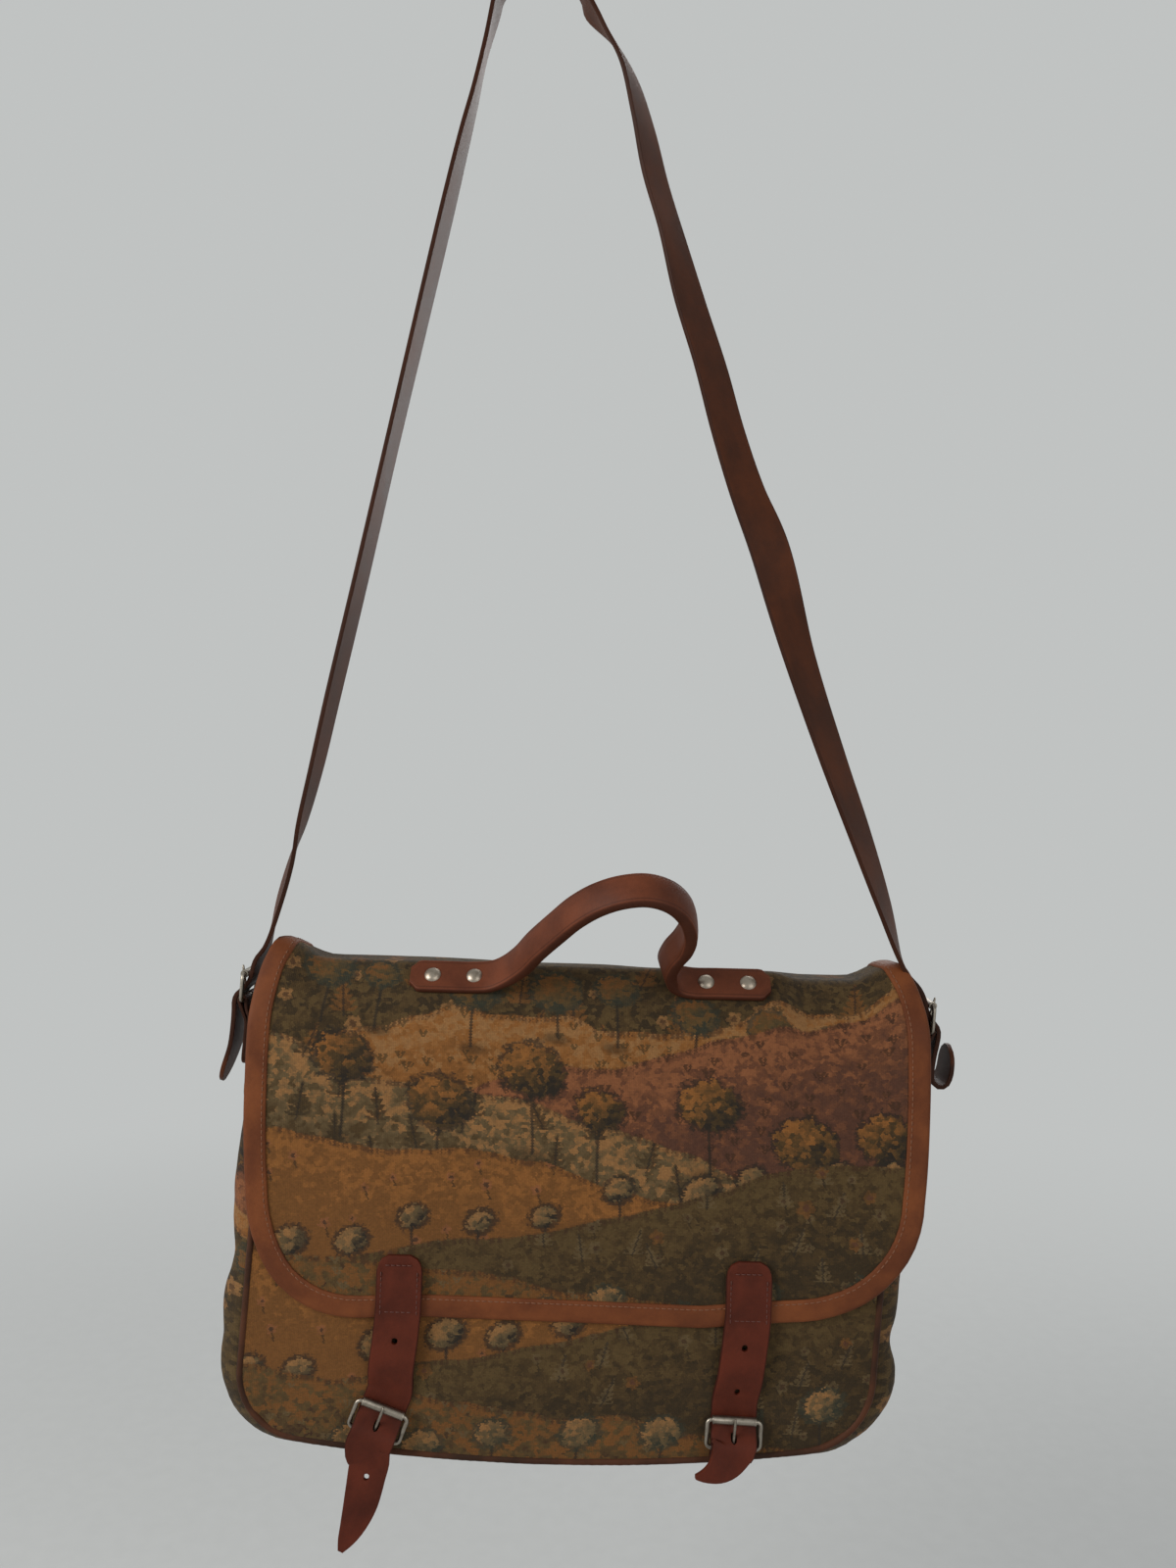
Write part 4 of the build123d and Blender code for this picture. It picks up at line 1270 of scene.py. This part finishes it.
def front_strap(name, buckle, top, tail, spare, below=OVER_HEEL):
    stations = front_stations(top) + through_buckle(buckle, 25.0, FLAT_ABOVE, below) + front_stations(tail)
    line = middle_line(stations)
    holes = [(nearest_mark(line, buckle.at(*PRONG_HOLE)), 6.6, 3.2)]
    holes += [(nearest_mark(line, place), 4.2, 3.2) for place in spare]
    piece = strap(name + "_leather", stations, gap=2.0, holes=holes)
    dress(piece, RED_BROWN, stands_for=[name], thick=2.2, rim=0.55)
    across = top[0][0]
    face = ON_FLAP + 1.35
    lines = [[spot(across + side, up, face) for up in range(81, 108, 2)] for side in (-9.9, 9.9)]
    lines += [[spot(across - 9.0 + x, up, face) for x in range(0, 19, 2)] for up in (84.0, 109.5)]
    rows = []
    for line in lines:
        rows += stitch_row(line, lambda s: OUT, pitch=3.0, length=2.2, radius=0.32)
    return rows


strap_threads = front_strap("front_strap_left", BUCKLES["front_left"], LEFT_TOP, LEFT_TAIL,
                            [spot(-101.8, 67.8, 36), spot(-115.4, -4.4, 39.5)])
strap_threads += front_strap("front_strap_right", BUCKLES["front_right"], RIGHT_TOP, RIGHT_TAIL,
                             [spot(89.8, 68.6, 36), spot(86.6, 43.6, 34)], below=[])
dress(merged("front_strap_stitches", strap_threads), DARK_THREAD, crease=180)

# The shoulder strap, from its right tip up, over the loop and down to its left tip.
# Each strand's rows are across, height and the turn of its face in degrees.
SHOULDER_WIDTH = 24.5
RIGHT_STRAND = [(209.0, -580.0, 10), (197.5, -543.5, 29), (183.5, -502.1, 40), (168.8, -460.8, 46), (148.4, -399.0, 55),
                (131.4, -337.2, 75), (118.4, -303.8, 62), (107.6, -269.8, 56), (97.4, -231.8, 53), (85.5, -193.9, 50),
                (75.3, -155.9, 40), (65.5, -123.0, 38), (58.5, -91.0, 32), (50.0, -61.0, 24), (38.5, -40.0, 20)]
LEFT_STRAND = [(-32.5, -48.0, -6), (-39.0, -77.1, -3), (-44.8, -100.0, 1), (-54.4, -140.0, 4), (-69.8, -205.0, 4),
               (-86.4, -275.5, 3), (-103.4, -349.1, 4), (-120.9, -422.8, 4), (-130.7, -465.0, 2),
               (-138.9, -496.5, -4), (-144.5, -517.0, -16), (-151.5, -541.0, -18), (-158.5, -566.0, -8)]
LOOP = 26.2               # radius of the loop at the top


def strand(rows):
    stations = []
    for across, height, turn in rows:
        angle = math.radians(turn)
        stations.append((Vector((across, 0, height)), Vector((-math.sin(angle), -math.cos(angle), 0)), SHOULDER_WIDTH))
    return stations


def side_stations(name, rows):
    return [(BUCKLES[name].at(along, out), OUT, width) for along, out, width in rows]


def side_through(name, above):
    return [(point, OUT, width) for point, side, width in through_buckle(BUCKLES[name], SHOULDER_WIDTH, above)]


LOOP_TURNS = [math.radians(a) for a in (5, 25, 45, 65, 90, 115, 135, 155, 175)]
OVER_LOOP = [(Vector((LOOP * math.cos(a), 0, -25.0 + LOOP * math.sin(a))), OUT, SHOULDER_WIDTH) for a in LOOP_TURNS]
FULL = SHOULDER_WIDTH
RIGHT_TIP = side_stations("side_right", [
    (-8.0, 13.8, 4), (-9.4, 13.9, 11), (-14.0, 14.0, 21), (-20.5, 13.8, FULL), (-25.5, 13.2, FULL), (-29.4, 11.4, FULL),
    (-31.0, 8.0, FULL), (-29.4, 4.6, FULL), (-25.5, 2.9, FULL), (-15.0, 3.1, FULL)])
LEFT_TIP = side_stations("side_left", [
    (-14.0, 4.2, FULL), (-26.0, 4.8, FULL), (-40.0, 8.2, 21), (-46.0, 9.8, 13), (-49.0, 10.6, 4)])
shoulder_stations = (
    RIGHT_TIP + side_through("side_right", [(24.0, -8.4), (18.5, -5.2)])[::-1] + strand(RIGHT_STRAND) + OVER_LOOP
    + strand(LEFT_STRAND) + side_through("side_left", [(24.0, -5.8), (18.5, -4.3)]) + LEFT_TIP)
shoulder_run = middle_line(shoulder_stations)


shoulder_holes = [(nearest_mark(shoulder_run, BUCKLES["side_right"].at(*PRONG_HOLE), last=300), 6.6, 3.2),
                  (nearest_mark(shoulder_run, BUCKLES["side_left"].at(*PRONG_HOLE), first=901), 6.6, 3.2)]
shoulder = strap("shoulder_strap_leather", shoulder_stations, gap=3.0, holes=shoulder_holes)
dress(shoulder, DARK_BROWN, stands_for=["shoulder_strap"], thick=2.4, rim=0.55)

# ---- Cloth facts ----

def outline_area(points):
    """The area inside a closed outline in the flat, in square metres."""
    total = sum(x0 * y1 - x1 * y0 for (x0, y0), (x1, y1) in zip(points, points[1:] + points[:1]))
    return abs(total) / 2 * MM * MM


def panel_facts(top):
    cut = [tuple(p) for p in seam(1.0, top)]
    outline_area(cut)


panel_facts(FRONT_TOP)
panel_facts(BACK_TOP)
outline_area([tuple(p) for p in FLAP_EDGE.points])

# ---- Floor, light and camera ----

PALE = (0.53, 0.545, 0.54, 1.0)


def pale_floor():
    """A floor that turns into the plain background some way off, and keeps the bag's shadow."""
    bpy.ops.mesh.primitive_circle_add(vertices=96, radius=6.0, fill_type="NGON", location=(0.02, 0, -1.15))
    floor = bpy.context.object
    floor.name = "floor"
    finish = Finish("floor_paint", Roughness=0.9)
    at = finish.node("TexCoord", None, None, "Object")
    away = finish.node("VectorMath", {"operation": "LENGTH"}, {0: at}, "Value")
    speck = finish.clouds(finish.shade(at, 60.0), 3.0)
    finish.feed("Base Color", finish.ramp(speck, (0.3, PALE), (0.7, darker(PALE, 0.97))))
    glow = finish.node("Emission", None, {"Color": PALE, "Strength": 1.0})
    mixed = finish.node("MixShader", None, {0: away.rising(0.5, 1.9)})
    node = mixed.socket.node
    finish.tree.links.new(finish.shader.outputs[0], node.inputs[1])
    finish.tree.links.new(glow.socket, node.inputs[2])
    finish.tree.links.new(mixed.socket, finish.tree.nodes["Material Output"].inputs["Surface"])
    floor.data.materials.append(finish.material)


pale_floor()


def soft_lamp(name, place, target, size, power, colour=(1, 1, 1)):
    lamp = bpy.data.lights.new(name, "AREA")
    lamp.shape = "DISK"
    lamp.size = size
    lamp.energy = power
    lamp.color = colour
    holder = bpy.data.objects.new(name, lamp)
    holder.location = place
    holder.rotation_euler = (Vector(target) - Vector(place)).to_track_quat("-Z", "Y").to_euler()
    bpy.context.scene.collection.objects.link(holder)


BAG_MIDDLE = (0.02, 0.0, -0.6)
soft_lamp("window_side", (-1.5, -1.0, 0.1), BAG_MIDDLE, 1.2, 28, (1.0, 0.985, 0.96))
soft_lamp("front_fill", (1.2, -1.8, -0.1), BAG_MIDDLE, 1.6, 11.5)
soft_lamp("behind", (0.6, 1.9, 0.5), BAG_MIDDLE, 1.6, 18)


def studio_air():
    """A pale background for the eye, glossy and clear rays, and a softer light for the rest."""
    world = bpy.data.worlds.new("studio_air")
    bpy.context.scene.world = world
    world.use_nodes = True
    tree = world.node_tree
    tree.nodes.clear()
    rays = tree.nodes.new("ShaderNodeLightPath")
    seen = tree.nodes.new("ShaderNodeBackground")
    seen.inputs["Color"].default_value = PALE
    light = tree.nodes.new("ShaderNodeBackground")
    light.inputs["Color"].default_value = (1.0, 1.0, 1.0, 1)
    light.inputs["Strength"].default_value = 0.38
    either = rays.outputs["Is Camera Ray"]
    for kind in ("Is Glossy Ray", "Is Transmission Ray"):
        larger = tree.nodes.new("ShaderNodeMath")
        larger.operation = "MAXIMUM"
        tree.links.new(either, larger.inputs[0])
        tree.links.new(rays.outputs[kind], larger.inputs[1])
        either = larger.outputs[0]
    mix = tree.nodes.new("ShaderNodeMixShader")
    tree.links.new(either, mix.inputs[0])
    tree.links.new(light.outputs[0], mix.inputs[1])
    tree.links.new(seen.outputs[0], mix.inputs[2])
    out = tree.nodes.new("ShaderNodeOutputWorld")
    tree.links.new(mix.outputs[0], out.inputs["Surface"])


studio_air()
bpy.context.scene.view_settings.view_transform = "Standard"

eye = bpy.data.cameras.new("photo_eye")
eye.lens = 27.0
eye.sensor_width = 36.0
camera = bpy.data.objects.new("photo_eye", eye)
camera.location = (0.0266, -0.680, -0.4738)
camera.rotation_euler = (math.radians(90), 0, 0)
bpy.context.scene.collection.objects.link(camera)
bpy.context.scene.camera = camera
